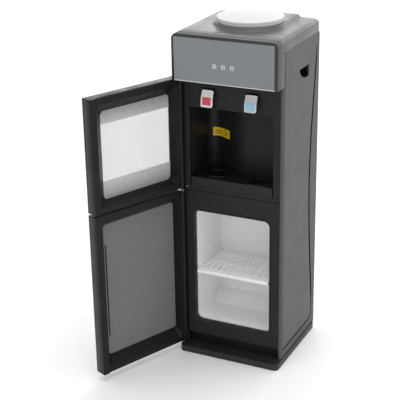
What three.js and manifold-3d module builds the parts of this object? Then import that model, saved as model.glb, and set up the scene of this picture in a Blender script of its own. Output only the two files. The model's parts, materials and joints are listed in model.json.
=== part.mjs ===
// A floor-standing, top-loading water dispenser with a refrigerated cabinet.
// Millimetres, +Z up, front towards -Y.
// The origin is the centre of the base tray's underside. Both doors stand open.
import * as THREE from "three";
import { mergeVertices } from "three/addons/utils/BufferGeometryUtils.js";
import Module from "manifold-3d";

const wasm = await Module();
wasm.setup();

// ---------------------------------------------------------------- driving dimensions
const GAP = 0.3; // clearance kept between touching pieces
const FIT = 0.6; // clearance round a piece that slides or lifts out
const WALL = 3; // moulded plastic wall
const SHEET = 2; // painted steel sheet

const BASE = { width: 316, depth: 306, height: 20, corner: 14 };
const BODY_HALF = 155;
const KICK_OVERHANG = 34; // how far the base stands in front of the body
const FRONT = -BASE.depth / 2 + KICK_OVERHANG;
const BACK = BASE.depth / 2;
const CORNER_DEPTH = 12; // silver corner trim, seen from the side
const CORNER_RADIUS = 8;

const KICK_TOP = 54;
const CABINET = { half: 113, bottom: 102, top: 448, corner: 14, depth: 165 };
const SEAM = 512; // joint between the lower and upper fronts
const NICHE = { half: 126.5, floor: 524, lip: 554, top: 761 };
const HEAD = { half: 157, bottom: 846, top: 978, depth: 48, corner: 18 };
const GLASS = { half: 147, top: 969, thick: 3.4 };
const SIDE_TOP = 938;
const COVER_TOP = 977;
const DECK_TOP = 986;
const WELL = { y: 17, deckRadius: 103, holeRadius: 72, lidRadius: 94 };
const BACK_PANEL_Y = BACK - 16;

const TAP_X = 65;
const PADDLE = { width: 35, top: 817, bottom: 771, thick: 3, pivotY: FRONT + 6, pivotZ: 808 };
const SPOUT_Y = FRONT + 34;

const DOOR = { thick: 34, gap: 9, angle: 113.2, left: -7, right: 307, knuckle: 7, skin: 4 };
const PIVOT = { x: -150, y: FRONT - DOOR.gap };
const UPPER_DOOR = { bottom: 514.5, top: 842 };
const LOWER_DOOR = { bottom: 22, top: 509.5 };
// Each door is hollow: its rim opens at the mouth, and slopes run down to the window or panel.
// Both are given as (from the pin, to, above the door's bottom, below its top).
const UPPER_HOLLOW = { mouth: [8, 287, 20, 20], window: [17, 255, 27, 48] };
const LOWER_HOLLOW = { mouth: [8, 287, 15, 20], window: [14, 266, 42, 40] };
const PIN_RADIUS = 2.5;

const SHELF = { z: 262, thick: 9, back: 42 };
const SWITCH = { x: 92, z: 838, pitch: 26 };
const DRAIN = { x: 96, z: 196 };
const HOT_TANK = { x: -62, y: 88, radius: 40, bottom: 592, top: 742 };
const COLD_TANK = { x: 12, y: 60, radius: 60, bottom: 784, top: 914 };

// ---------------------------------------------------------------- solids and placing
const X_AXIS = new THREE.Vector3(1, 0, 0);
const Y_AXIS = new THREE.Vector3(0, 1, 0);
const Z_AXIS = new THREE.Vector3(0, 0, 1);
const FRONT_VIEW = new THREE.Matrix4().makeBasis(X_AXIS, Z_AXIS, Y_AXIS.clone().negate());
const SIDE_VIEW = new THREE.Matrix4().makeBasis(Y_AXIS, Z_AXIS, X_AXIS);

function toManifold(geometry) {
  const bare = geometry.clone();
  bare.deleteAttribute("normal");
  bare.deleteAttribute("uv");
  const merged = mergeVertices(bare, 1e-4);
  return new wasm.Manifold(new wasm.Mesh({
    numProp: 3,
    vertProperties: new Float32Array(merged.attributes.position.array),
    triVerts: new Uint32Array(merged.index.array),
  }));
}

function toGeometry(solid) {
  const mesh = solid.getMesh();
  const geometry = new THREE.BufferGeometry();
  geometry.setAttribute("position", new THREE.BufferAttribute(mesh.vertProperties, 3));
  geometry.setIndex(new THREE.BufferAttribute(mesh.triVerts, 1));
  geometry.computeVertexNormals();
  return geometry;
}

function cut(geometry, ...tools) {
  return toGeometry(tools.reduce((solid, tool) => solid.subtract(toManifold(tool)), toManifold(geometry)));
}

function join(geometry, ...others) {
  return toGeometry(others.reduce((solid, other) => solid.add(toManifold(other)), toManifold(geometry)));
}

function common(geometry, other) {
  return toGeometry(toManifold(geometry).intersect(toManifold(other)));
}

// A box between two opposite corners.
function box(x0, x1, y0, y1, z0, z1) {
  const geometry = new THREE.BoxGeometry(x1 - x0, y1 - y0, z1 - z0);
  return geometry.translate((x0 + x1) / 2, (y0 + y1) / 2, (z0 + z1) / 2);
}

// An outline drawn in plan (x, y) and raised from z0 to z1.
function raise(shape, z0, z1, arcSteps = 6) {
  const options = { depth: z1 - z0, bevelEnabled: false, curveSegments: arcSteps };
  return new THREE.ExtrudeGeometry(shape, options).translate(0, 0, z0);
}

// An outline drawn from the front (x, z) that fills y0 to y1.
function frontSlab(shape, y0, y1, arcSteps = 6) {
  const options = { depth: y1 - y0, bevelEnabled: false, curveSegments: arcSteps };
  return new THREE.ExtrudeGeometry(shape, options).applyMatrix4(FRONT_VIEW).translate(0, y1, 0);
}

// An outline drawn from the side (y, z) that fills x0 to x1.
function sideSlab(shape, x0, x1, arcSteps = 6) {
  const options = { depth: x1 - x0, bevelEnabled: false, curveSegments: arcSteps };
  return new THREE.ExtrudeGeometry(shape, options).applyMatrix4(SIDE_VIEW).translate(x0, 0, 0);
}

function roundedRect(x0, x1, y0, y1, r) {
  const shape = new THREE.Shape();
  shape.moveTo(x0 + r, y0);
  shape.lineTo(x1 - r, y0);
  shape.absarc(x1 - r, y0 + r, r, -Math.PI / 2, 0, false);
  shape.lineTo(x1, y1 - r);
  shape.absarc(x1 - r, y1 - r, r, 0, Math.PI / 2, false);
  shape.lineTo(x0 + r, y1);
  shape.absarc(x0 + r, y1 - r, r, Math.PI / 2, Math.PI, false);
  shape.lineTo(x0, y0 + r);
  shape.absarc(x0 + r, y0 + r, r, Math.PI, 1.5 * Math.PI, false);
  return shape;
}

function polygon(points) {
  return new THREE.Shape(points.map(([a, b]) => new THREE.Vector2(a, b)));
}

// A rectangle with only its two upper corners rounded.
function archRect(x0, x1, y0, y1, r) {
  const shape = new THREE.Shape();
  shape.moveTo(x0, y0);
  shape.lineTo(x1, y0);
  shape.lineTo(x1, y1 - r);
  shape.absarc(x1 - r, y1 - r, r, 0, Math.PI / 2, false);
  shape.lineTo(x0 + r, y1);
  shape.absarc(x0 + r, y1 - r, r, Math.PI / 2, Math.PI, false);
  return shape;
}

// A turned piece: profile points are (radius, height), from the axis round to the axis, or a closed ring.
function turn(points, steps = 24) {
  const profile = points.map(([r, h]) => new THREE.Vector2(r, h));
  return new THREE.LatheGeometry(profile, steps).rotateX(Math.PI / 2);
}

// An upright cylinder.
function post(x, y, z0, z1, radius, steps = 20) {
  return turn([[0, z0], [radius, z0], [radius, z1], [0, z1]], steps).translate(x, y, 0);
}

// A cylinder lying along y.
function rod(x, z, y0, y1, radius, steps = 20) {
  const geometry = turn([[0, y0], [radius, y0], [radius, y1], [0, y1]], steps);
  return geometry.rotateX(-Math.PI / 2).translate(x, 0, z);
}

function tube(points, radius, steps, sides = 8) {
  const path = new THREE.CatmullRomCurve3(points.map((p) => new THREE.Vector3(...p)), false, "centripetal");
  const section = new THREE.Shape();
  section.absarc(0, 0, radius, 0, 2 * Math.PI, false);
  return new THREE.ExtrudeGeometry(section, { steps, extrudePath: path, curveSegments: sides / 2 });
}

// A pocket that narrows: a rectangle (a0, a1, z0, z1) at y0 and another at y1.
function taper(y0, [a0, a1, b0, b1], y1, [c0, c1, d0, d1]) {
  const corners = [
    [a0, y0, b0], [a1, y0, b0], [a1, y0, b1], [a0, y0, b1],
    [c0, y1, d0], [c1, y1, d0], [c1, y1, d1], [c0, y1, d1],
  ];
  const faces = [0, 1, 2, 0, 2, 3, 4, 6, 5, 4, 7, 6];
  for (let i = 0; i < 4; i += 1) {
    const next = (i + 1) % 4;
    faces.push(i, i + 4, next, next, i + 4, next + 4);
  }
  const geometry = new THREE.BufferGeometry();
  geometry.setAttribute("position", new THREE.Float32BufferAttribute(corners.flat(), 3));
  geometry.setIndex(faces);
  return geometry;
}

// The same piece on the other side of the body, with its faces turned back outwards.
function mirrored(geometry) {
  const flipped = mergeVertices(geometry).scale(-1, 1, 1);
  const index = flipped.index.array;
  for (let i = 0; i < index.length; i += 3) {
    [index[i], index[i + 1]] = [index[i + 1], index[i]];
  }
  return flipped;
}

// A sheet between two distances from the centre plane, on the right (1) or the left (-1).
function sideSheet(outline, side, near, far) {
  return side > 0 ? sideSlab(outline, near, far) : sideSlab(outline, -far, -near);
}

const part = new THREE.Group();

const FINISH = {
  blackPlastic: { color: 0x1b1c1e, roughness: 0.45, metalness: 0 },
  blackGloss: { color: 0x0b0c0d, roughness: 0.15, metalness: 0 },
  greyPlastic: { color: 0x54565a, roughness: 0.42, metalness: 0 },
  silverPaint: { color: 0x76787b, roughness: 0.4, metalness: 0.3 },
  whitePlastic: { color: 0xf0f0ee, roughness: 0.4, metalness: 0 },
  liner: { color: 0xd9d9d9, roughness: 0.5, metalness: 0 },
  greyGlass: { color: 0x848b93, roughness: 0.08, metalness: 0 },
  clearGlass: { color: 0xe8eef0, roughness: 0.05, metalness: 0 },
  doorGrey: { color: 0x707172, roughness: 0.5, metalness: 0 },
  rubber: { color: 0x161616, roughness: 0.85, metalness: 0 },
  steel: { color: 0xb9bcbf, roughness: 0.35, metalness: 0.9 },
  darkSteel: { color: 0x1f2022, roughness: 0.5, metalness: 0.4 },
  red: { color: 0xc8384a, roughness: 0.35, metalness: 0 },
  blue: { color: 0x7fb2cd, roughness: 0.35, metalness: 0 },
  green: { color: 0x1d7a3c, roughness: 0.35, metalness: 0 },
  yellow: { color: 0xe9c81e, roughness: 0.6, metalness: 0 },
  board: { color: 0x1f5f3a, roughness: 0.6, metalness: 0 },
};

function add(name, geometry, finish, parent = part) {
  const mesh = new THREE.Mesh(geometry, new THREE.MeshStandardMaterial(FINISH[finish]));
  mesh.name = name;
  parent.add(mesh);
  return mesh;
}

// ---------------------------------------------------------------- base
function addBase() {
  const half = BASE.width / 2;
  const padRadius = 15;
  const padDepth = 4;
  const padX = half - 34;
  const padY = BACK - 34;
  const outline = roundedRect(-half, half, -BACK, BACK, BASE.corner);
  const places = { front_left: [-1, -1], front_right: [1, -1], rear_left: [-1, 1], rear_right: [1, 1] };
  const pockets = Object.values(places).map(([sx, sy]) =>
    post(sx * padX, sy * padY, -1, padDepth + GAP, padRadius + GAP, 16));
  add("base_tray", cut(raise(outline, 0, BASE.height), ...pockets), "blackPlastic");
  for (const [corner, [sx, sy]] of Object.entries(places)) {
    add(`foot_pad_${corner}`, post(sx * padX, sy * padY, 0, padDepth, padRadius, 16), "rubber");
  }
}

// ---------------------------------------------------------------- sides
// The joint between the side panel and its darker skirt, as (depth behind the front, height).
const SKIRT_LINE = [[254, SIDE_TOP], [236, 810], [213, 640], [206, 470], [219, 300], [240, 130], [245, 72]];
const SKIRT_TOP = 46;
const SKIRT_TURN = 22; // radius of the turn at the lower rear corner
const GRIP = { front: 116, back: 190, bottom: 831, top: 864, depth: 29 };
const SKIRT_JOINT = 1.6;

function skirtCurve(shift) {
  const line = SKIRT_LINE.map(([d, z]) => new THREE.Vector2(FRONT + d + shift, z));
  return new THREE.SplineCurve(line).getPoints(18);
}

function sidePanelOutline() {
  const front = FRONT + CORNER_DEPTH + SKIRT_JOINT;
  const rear = skirtCurve(0).slice(1);
  const shape = new THREE.Shape();
  const low = SKIRT_TOP + SKIRT_JOINT;
  const corner = rear[rear.length - 1];
  shape.moveTo(front, low);
  shape.lineTo(corner.x - SKIRT_TURN, low);
  shape.absarc(corner.x - SKIRT_TURN, low + SKIRT_TURN, SKIRT_TURN, -Math.PI / 2, 0, false);
  rear.reverse().forEach((p) => shape.lineTo(p.x, p.y));
  shape.lineTo(FRONT + SKIRT_LINE[0][0], SIDE_TOP);
  shape.lineTo(front, SIDE_TOP);
  return shape;
}

function sideSkirtOutline() {
  const bottom = BASE.height + GAP;
  const rear = skirtCurve(SKIRT_JOINT);
  const corner = rear[rear.length - 1];
  const front = FRONT + CORNER_DEPTH + SKIRT_JOINT;
  const shape = new THREE.Shape();
  shape.moveTo(front, bottom);
  shape.lineTo(BACK, bottom);
  shape.lineTo(BACK, SIDE_TOP);
  rear.forEach((p) => shape.lineTo(p.x, p.y));
  shape.absarc(corner.x - SKIRT_TURN, SKIRT_TOP + SKIRT_TURN, SKIRT_TURN, 0, -Math.PI / 2, true);
  shape.lineTo(front, SKIRT_TOP);
  return shape;
}

function gripOutline(grow) {
  const [y0, y1] = [FRONT + GRIP.front - grow, FRONT + GRIP.back + grow];
  const [z0, z1] = [GRIP.bottom - grow, GRIP.top + grow];
  const shape = new THREE.Shape();
  shape.moveTo(y1, z0);
  shape.lineTo(y1, z1);
  shape.lineTo(y0, z1);
  shape.bezierCurveTo(y0 + 6, z1 - 20, y0 + 30, z0, y1 - 16, z0);
  return shape;
}

// Silver trim at the front corner, which wraps from the front face to the side.
function cornerTrim() {
  const outer = BODY_HALF;
  const inner = outer - CORNER_RADIUS;
  const shape = new THREE.Shape();
  shape.moveTo(inner, FRONT);
  shape.absarc(inner, FRONT + CORNER_RADIUS, CORNER_RADIUS, -Math.PI / 2, 0, false);
  shape.lineTo(outer, FRONT + CORNER_DEPTH);
  shape.lineTo(outer - WALL, FRONT + CORNER_DEPTH);
  shape.lineTo(outer - WALL, FRONT + CORNER_RADIUS);
  shape.absarc(inner, FRONT + CORNER_RADIUS, CORNER_RADIUS - WALL, 0, -Math.PI / 2, true);
  return raise(shape, BASE.height + GAP, SIDE_TOP - GAP);
}

function gripCup(side) {
  const mouth = BODY_HALF - SHEET;
  const outer = sideSheet(gripOutline(WALL), side, mouth - GRIP.depth - WALL, mouth - GAP);
  const pocket = sideSheet(gripOutline(0), side, mouth - GRIP.depth, BODY_HALF + 1);
  return cut(outer, pocket);
}

function addSides() {
  const trim = cornerTrim();
  for (const [name, side] of [["right", 1], ["left", -1]]) {
    const hole = sideSheet(gripOutline(0), side, BODY_HALF - 10, BODY_HALF + 10);
    const panel = sideSheet(sidePanelOutline(), side, BODY_HALF - SHEET, BODY_HALF);
    const skirt = sideSheet(sideSkirtOutline(), side, BODY_HALF - SHEET, BODY_HALF - GAP);
    add(`${name}_corner_trim`, side > 0 ? trim : mirrored(trim), "silverPaint");
    add(`${name}_side_panel`, cut(panel, hole), "silverPaint");
    add(`${name}_side_skirt`, skirt, "silverPaint");
    add(`${name}_hand_grip`, gripCup(side), "blackPlastic");
  }
}

// ---------------------------------------------------------------- fronts
const FRAME_HALF = BODY_HALF - CORNER_RADIUS - GAP;
const FRAME_DEPTH = 14;

function addFronts() {
  const kickY = FRONT + 20;
  const half = BODY_HALF - 5;
  add("kick_plate", box(-half, half, kickY, kickY + SHEET, BASE.height + GAP, 86), "blackPlastic");

  const lower = roundedRect(-FRAME_HALF, FRAME_HALF, KICK_TOP, SEAM - 1, 1);
  lower.holes.push(roundedRect(-CABINET.half, CABINET.half, CABINET.bottom, CABINET.top, CABINET.corner));
  add("lower_front_frame", frontSlab(lower, FRONT, FRONT + FRAME_DEPTH, 4), "blackPlastic");

  const top = HEAD.bottom - GAP;
  const upper = polygon([
    [-FRAME_HALF, SEAM + 0.5], [FRAME_HALF, SEAM + 0.5], [FRAME_HALF, top], [NICHE.half, top],
    [NICHE.half, NICHE.floor], [-NICHE.half, NICHE.floor], [-NICHE.half, top], [-FRAME_HALF, top],
  ]);
  add("upper_front_frame", frontSlab(upper, FRONT, FRONT + FRAME_DEPTH), "blackPlastic");
}

// ---------------------------------------------------------------- niche, drip tray and taps
// Plan of the niche wall: a deep round corner behind the hot tap, then a sweep forward to the right.
const NICHE_DEEP = 130;
const NICHE_SHALLOW = 88;
const NICHE_BEND = { left: 28, right: 14 }; // radii of the wall's vertical corners

function nichePath(inset, front) {
  const half = NICHE.half - GAP - inset;
  const deep = FRONT + NICHE_DEEP - inset;
  const shallow = FRONT + NICHE_SHALLOW - inset;
  const left = NICHE_BEND.left - inset;
  const right = NICHE_BEND.right - inset;
  const path = new THREE.Path();
  path.moveTo(-half, front);
  path.lineTo(-half, deep - left);
  path.absarc(-half + left, deep - left, left, Math.PI, Math.PI / 2, true);
  path.bezierCurveTo(-70, deep, -38, shallow, 14, shallow);
  path.lineTo(half - right, shallow);
  path.absarc(half - right, shallow - right, right, Math.PI / 2, 0, true);
  path.lineTo(half, front);
  return path.getPoints(8);
}

function nicheLiner() {
  const front = FRONT + FRAME_DEPTH + GAP;
  const outside = new THREE.Shape(nichePath(-1.5 + GAP, front));
  const inside = new THREE.Shape(nichePath(1.5, front - 1));
  const bottom = NICHE.floor - WALL;
  const top = NICHE.top + WALL;
  const spouts = [-1, 1].map((side) => post(side * TAP_X, SPOUT_Y, NICHE.top - 1, top + 1, 11, 16));
  return cut(raise(outside, bottom, top), raise(inside, NICHE.floor, NICHE.top), ...spouts);
}

// A plain label that follows the curved wall.
function nicheLabel() {
  const skin = 1.5 + GAP;
  const [z0, z1] = [639, 665];
  const outer = raise(new THREE.Shape(nichePath(skin, FRONT + 60)), z0, z1);
  const inner = raise(new THREE.Shape(nichePath(skin + 0.8, FRONT + 50)), z0 - 1, z1 + 1);
  return common(cut(outer, inner), box(-113, -58, FRONT + 90, BACK, z0, z1));
}

function addNiche() {
  add("niche_liner", nicheLiner(), "blackPlastic");
  add("niche_label", nicheLabel(), "yellow");

  const frontY = FRONT - 1;
  const plan = new THREE.Shape(nichePath(1.5 + FIT, frontY));
  const hollow = new THREE.Shape(nichePath(1.5 + FIT + WALL, frontY + WALL));
  const z0 = NICHE.floor + FIT;
  const ledge = NICHE.lip - 3;
  const tray = cut(raise(plan, z0, NICHE.lip), raise(hollow, z0 + WALL, NICHE.lip + 1));
  const body = new THREE.Group();
  part.add(body);
  add("drip_tray", tray, "blackPlastic", body);

  const grille = new THREE.Shape(nichePath(1.5 + FIT + WALL + FIT, frontY + WALL + FIT));
  const slots = [];
  const slotWidth = 5;
  for (const centre of [-TAP_X, TAP_X]) {
    for (let i = -3; i <= 3; i += 1) {
      const x = centre + i * 2 * slotWidth;
      const reach = Math.sqrt(36 * 36 - (x - centre) ** 2);
      const middle = FRONT + 44;
      const [x0, x1] = [x - slotWidth / 2, x + slotWidth / 2];
      slots.push(box(x0, x1, middle - reach, middle + reach, ledge - 9, ledge + 1));
    }
  }
  add("drip_grille", cut(raise(grille, ledge - WALL, ledge), ...slots), "blackPlastic", body);
}

function paddleProfile() {
  const count = 10;
  const front = [];
  const back = [];
  for (let i = 0; i <= count; i += 1) {
    const t = i / count;
    const z = PADDLE.top + (PADDLE.bottom - PADDLE.top) * t;
    const y = FRONT - 7 - 6 * Math.sin(t * Math.PI) ** 2 - 13 * t ** 2.4;
    front.push([y - PADDLE.thick / 2, z]);
    back.unshift([y + PADDLE.thick / 2, z]);
  }
  return { shape: polygon([...front, ...back]), count };
}

function tapBody(x) {
  const block = box(x - 16, x + 16, FRONT + 20, FRONT + 58, 776, 832);
  const spout = post(x, SPOUT_Y, 753, 790, 7.5, 16);
  const bore = post(x, SPOUT_Y, 752, 770, 4.5, 12);
  const outlet = rod(x, 812, FRONT + 50, FRONT + 70, 6, 12);
  return cut(join(block, spout, outlet), bore);
}

function addTap(side, insertFinish, paddleFinish) {
  const x = side === "hot" ? -TAP_X : TAP_X;
  const half = PADDLE.width / 2;
  const { shape } = paddleProfile();
  const plate = sideSlab(shape, x - half, x + half);
  const arm = box(x - 9, x + 9, FRONT - 8, FRONT + 14, PADDLE.pivotZ - 5, PADDLE.pivotZ + 5);
  const border = 5;
  const [low, high] = [PADDLE.bottom + border, PADDLE.bottom + 0.6 * (PADDLE.top - PADDLE.bottom)];
  const window = box(x - half + border, x + half - border, FRONT - 60, FRONT - 8, low, high);
  const insertSpace = box(x - half + border + GAP, x + half - border - GAP, FRONT - 60, FRONT - 8,
    low + GAP, high - GAP);
  const outerHalf = sideSlab(paddleSkin(-PADDLE.thick / 2 - 1, 0), x - half - 1, x + half + 1);
  const pocket = common(window, outerHalf);
  const insertHalf = sideSlab(paddleSkin(-PADDLE.thick / 2 - 0.2, -GAP), x - half, x + half);
  add(`${side}_paddle`, cut(join(plate, arm), pocket), paddleFinish);
  add(`${side}_paddle_insert`, common(insertSpace, insertHalf), insertFinish);
  add(`${side}_tap`, tapBody(x), "blackPlastic");
}

// The band between two offsets from the paddle's middle surface, as an outline seen from the side.
function paddleSkin(from, to) {
  const { shape, count } = paddleProfile();
  const middle = shape.getPoints().slice(0, count + 1).map((p) => [p.x + PADDLE.thick / 2, p.y]);
  const first = middle.map(([y, z]) => [y + from, z]);
  const second = middle.map(([y, z]) => [y + to, z]).reverse();
  return polygon([...first, ...second]);
}

function addFascia() {
  const y0 = FRONT + 1;
  const plate = roundedRect(-NICHE.half + GAP, NICHE.half - GAP, NICHE.top, HEAD.bottom - GAP, 1);
  for (const side of [-1, 1]) {
    const x = side * TAP_X;
    const half = PADDLE.width / 2 + 2;
    plate.holes.push(roundedRect(x - half, x + half, PADDLE.bottom - 4, PADDLE.top + 3, 4));
  }
  add("tap_fascia", frontSlab(plate, y0, y0 + WALL, 3), "blackPlastic");
}

// ---------------------------------------------------------------- head and top
function addHead() {
  const back = FRONT - GAP;
  const front = FRONT - HEAD.depth + 1.5;
  const ring = archRect(-HEAD.half, HEAD.half, HEAD.bottom, HEAD.top, HEAD.corner);
  ring.holes.push(archRect(-HEAD.half + WALL, HEAD.half - WALL, HEAD.bottom + WALL, HEAD.top - WALL,
    HEAD.corner - WALL));
  const notchHalf = GLASS.half + 6;
  const lowFront = box(-notchHalf, notchHalf, front - 1, front + 6, HEAD.bottom - 1, HEAD.bottom + WALL + 1);
  add("head_bezel", cut(frontSlab(ring, front, back), lowFront), "greyPlastic");

  const rim = WALL + GAP;
  const faceBack = front + 5.5;
  const faceFront = FRONT - HEAD.depth + 0.5;
  const faceHalf = HEAD.half - rim;
  const face = archRect(-faceHalf, faceHalf, HEAD.bottom + rim, HEAD.top - rim, HEAD.corner - rim);
  const pocket = box(-GLASS.half - GAP, GLASS.half + GAP, faceFront - 1, faceFront + GLASS.thick,
    HEAD.bottom, GLASS.top + GAP);
  add("bezel_frame", cut(frontSlab(face, faceFront, faceBack), pocket), "blackGloss");

  const glassFront = FRONT - HEAD.depth;
  const pane = roundedRect(-GLASS.half, GLASS.half, HEAD.bottom + 0.5, GLASS.top, 2);
  add("control_glass", frontSlab(pane, glassFront, glassFront + GLASS.thick, 3), "greyGlass");

  const board = roundedRect(-62, 62, 872, 922, 2);
  add("control_board", frontSlab(board, faceBack + 6, faceBack + 7.6, 2), "board");
}

function deckOutline(radius, rear) {
  const shape = new THREE.Shape();
  const soft = 14;
  shape.moveTo(radius, WELL.y);
  shape.lineTo(radius, rear - soft);
  shape.absarc(radius - soft, rear - soft, soft, 0, Math.PI / 2, false);
  shape.lineTo(-radius + soft, rear);
  shape.absarc(-radius + soft, rear - soft, soft, Math.PI / 2, Math.PI, false);
  shape.lineTo(-radius, WELL.y);
  shape.absarc(0, WELL.y, radius, Math.PI, 2 * Math.PI, false);
  return shape;
}

function addTopCover() {
  const front = FRONT;
  const round = 11;
  const bottom = SIDE_TOP + GAP;
  const plan = roundedRect(-BODY_HALF + round, BODY_HALF - round, front + 2 * round, BACK - round, 4);
  const loaf = new THREE.ExtrudeGeometry(plan, {
    depth: 60,
    bevelEnabled: true,
    bevelSize: round,
    bevelThickness: round,
    bevelSegments: 4,
    curveSegments: 2,
  }).translate(0, 0, COVER_TOP - 60 - round);
  const frontFill = frontLoaf(front, front + 3 * round, round);
  const outer = common(join(loaf, frontFill), box(-200, 200, front, BACK, bottom, COVER_TOP));
  const deck = raise(deckOutline(WELL.deckRadius, BACK - 8), COVER_TOP - 6, DECK_TOP, 14);
  const hollow = raise(roundedRect(-BODY_HALF + 8, BODY_HALF - 8, front + 8, BACK - 8, 4),
    bottom - 1, COVER_TOP - 9, 3);
  const underDeck = raise(deckOutline(WELL.deckRadius - 8, BACK - 16), bottom - 1, DECK_TOP - WALL, 14);
  const hole = post(0, WELL.y, bottom - 1, DECK_TOP + 1, WELL.holeRadius, 36);
  add("top_cover", cut(join(outer, deck), hollow, underDeck, hole), "greyPlastic");
}

// The cover's cross-section from the front, so that its front end stays square against the head bezel.
function frontLoaf(y0, y1, round) {
  const low = COVER_TOP - 60;
  const shape = new THREE.Shape();
  shape.moveTo(-BODY_HALF, low);
  shape.lineTo(BODY_HALF, low);
  shape.lineTo(BODY_HALF, COVER_TOP - round);
  shape.absarc(BODY_HALF - round, COVER_TOP - round, round, 0, Math.PI / 2, false);
  shape.lineTo(-BODY_HALF + round, COVER_TOP);
  shape.absarc(-BODY_HALF + round, COVER_TOP - round, round, Math.PI / 2, Math.PI, false);
  return frontSlab(shape, y0, y1, 4);
}

function addWell() {
  const lid = WELL.lidRadius;
  const base = DECK_TOP + GAP;
  add("lid", turn([
    [0, base + 14], [lid - 8, base + 9], [lid - 4, base], [lid - 1, base], [lid, base + 2], [lid, base + 11],
    [lid - 3, base + 14], [lid - 20, base + 17], [lid * 0.4, base + 21], [0, base + 22],
  ], 40).translate(0, WELL.y, 0), "whitePlastic");

  const r = WELL.holeRadius;
  add("bottle_seat", turn([
    [r - 2, base], [r + 8, base], [r + 8, base + 3], [r - 5, base + 3], [r - 14, base - 22], [20, base - 50],
    [20, base - 58], [24, base - 58], [24, base - 53], [r - 10, base - 26], [r - 2, base - 4], [r - 2, base],
  ], 24).translate(0, WELL.y, 0), "whitePlastic");

  const foot = COLD_TANK.top + GAP;
  add("bottle_probe", turn([
    [0, foot], [9, foot], [9, 972], [6, 980], [0, 986],
  ], 16).translate(0, WELL.y, 0), "whitePlastic");
}

// ---------------------------------------------------------------- back and works
function addBack() {
  const y = BACK_PANEL_Y;
  const half = BODY_HALF - SHEET - GAP;
  const sheet = roundedRect(-half, half, BASE.height + GAP, SIDE_TOP - GAP, 1);
  sheet.holes.push(roundedRect(-120, 120, 34, 172, 8));
  for (let row = 0; row < 5; row += 1) {
    for (const side of [-1, 1]) {
      const z = 880 + row * 9;
      sheet.holes.push(roundedRect(side * 60 - 38, side * 60 + 38, z, z + 3, 1.4));
    }
  }
  const inlet = { x: -96, z: 196 };
  sheet.holes.push(roundedRect(inlet.x - 14, inlet.x + 14, inlet.z - 10, inlet.z + 10, 1));
  sheet.holes.push(roundedRect(DRAIN.x - 10, DRAIN.x + 10, DRAIN.z - 10, DRAIN.z + 10, 9.9));
  const [sx, sz] = [SWITCH.x, SWITCH.z];
  sheet.holes.push(roundedRect(sx - 28, sx + 28, sz - 13, sz + 13, 1));
  add("back_panel", frontSlab(sheet, y, y + SHEET, 1), "blackPlastic");

  const flange = roundedRect(inlet.x - 17, inlet.x + 17, inlet.z - 13, inlet.z + 13, 3);
  const face = frontSlab(flange, y + SHEET + GAP, y + SHEET + 3, 3);
  const can = box(inlet.x - 13, inlet.x + 13, y - 22, y + SHEET + 1, inlet.z - 9, inlet.z + 9);
  const socket = box(inlet.x - 10, inlet.x + 10, y - 14, y + 10, inlet.z - 6, inlet.z + 6);
  add("power_inlet", cut(join(face, can), socket), "blackPlastic");

  addSwitches(y + SHEET);
  addDrain(y + SHEET);
  addCondenser(y + SHEET);
}

function addSwitches(y) {
  const [x, z] = [SWITCH.x, SWITCH.z];
  const plate = box(x - 30, x + 30, y + GAP, y + 3, z - 15, z + 15);
  const can = box(x - 27, x + 27, y - 18, y + 1, z - 12, z + 12);
  const pockets = [-1, 1].map((side) => {
    const middle = x + side * SWITCH.pitch / 2;
    return box(middle - 9, middle + 9, y - 15, y + 4, z - 10, z + 10);
  });
  add("switch_housing", cut(join(plate, can), ...pockets), "blackPlastic");
  const rocker = polygon([
    [0, 2.6], [8, 3.5], [8, 0.2], [4, -6], [-4, -6], [-8, 3.2], [-8, 6.5],
  ].map(([dz, dy]) => [y - 1 + dy, z + dz]));
  ["cooling_rocker", "heating_rocker"].forEach((name, i) => {
    const middle = x + (i - 0.5) * SWITCH.pitch;
    add(name, sideSlab(rocker, middle - 8, middle + 8), i === 0 ? "green" : "red");
  });
}

function addDrain(y) {
  const { x, z } = DRAIN;
  const pipe = join(rod(x, z, y - 40, y + 6, 6, 16), rod(x, z, y + GAP, y + 2.5, 11, 20));
  add("drain_outlet", cut(pipe, rod(x, z, y - 41, y + 7, 4, 12)), "blackPlastic");
  const ribs = [];
  for (let i = 0; i < 4; i += 1) {
    const rib = box(-10.5, 10.5, y + 3, y + 12, -1.5, 1.5);
    ribs.push(rib.rotateY((i * Math.PI) / 4).translate(x, 0, z));
  }
  const cap = join(rod(x, z, y + 3, y + 12.5, 9.4, 20), ...ribs);
  add("drain_cap", cut(cap, rod(x, z, y + 2, y + 9, 6 + GAP, 16)), "blackPlastic");
}

function addCondenser(y) {
  const half = 118;
  const pitch = 52;
  const runs = 10;
  const low = 236;
  const points = [];
  for (let i = 0; i < runs; i += 1) {
    const z = low + i * pitch;
    const way = i % 2 === 0 ? 1 : -1;
    for (const t of [-1, 0, 1]) {
      points.push([way * t * half, y + 7, z]);
    }
    if (i < runs - 1) {
      points.push([way * (half + 12), y + 7, z + pitch / 2]);
    }
  }
  add("condenser_coil", tube(points, 2.4, runs * 11, 6), "darkSteel");
}

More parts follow.
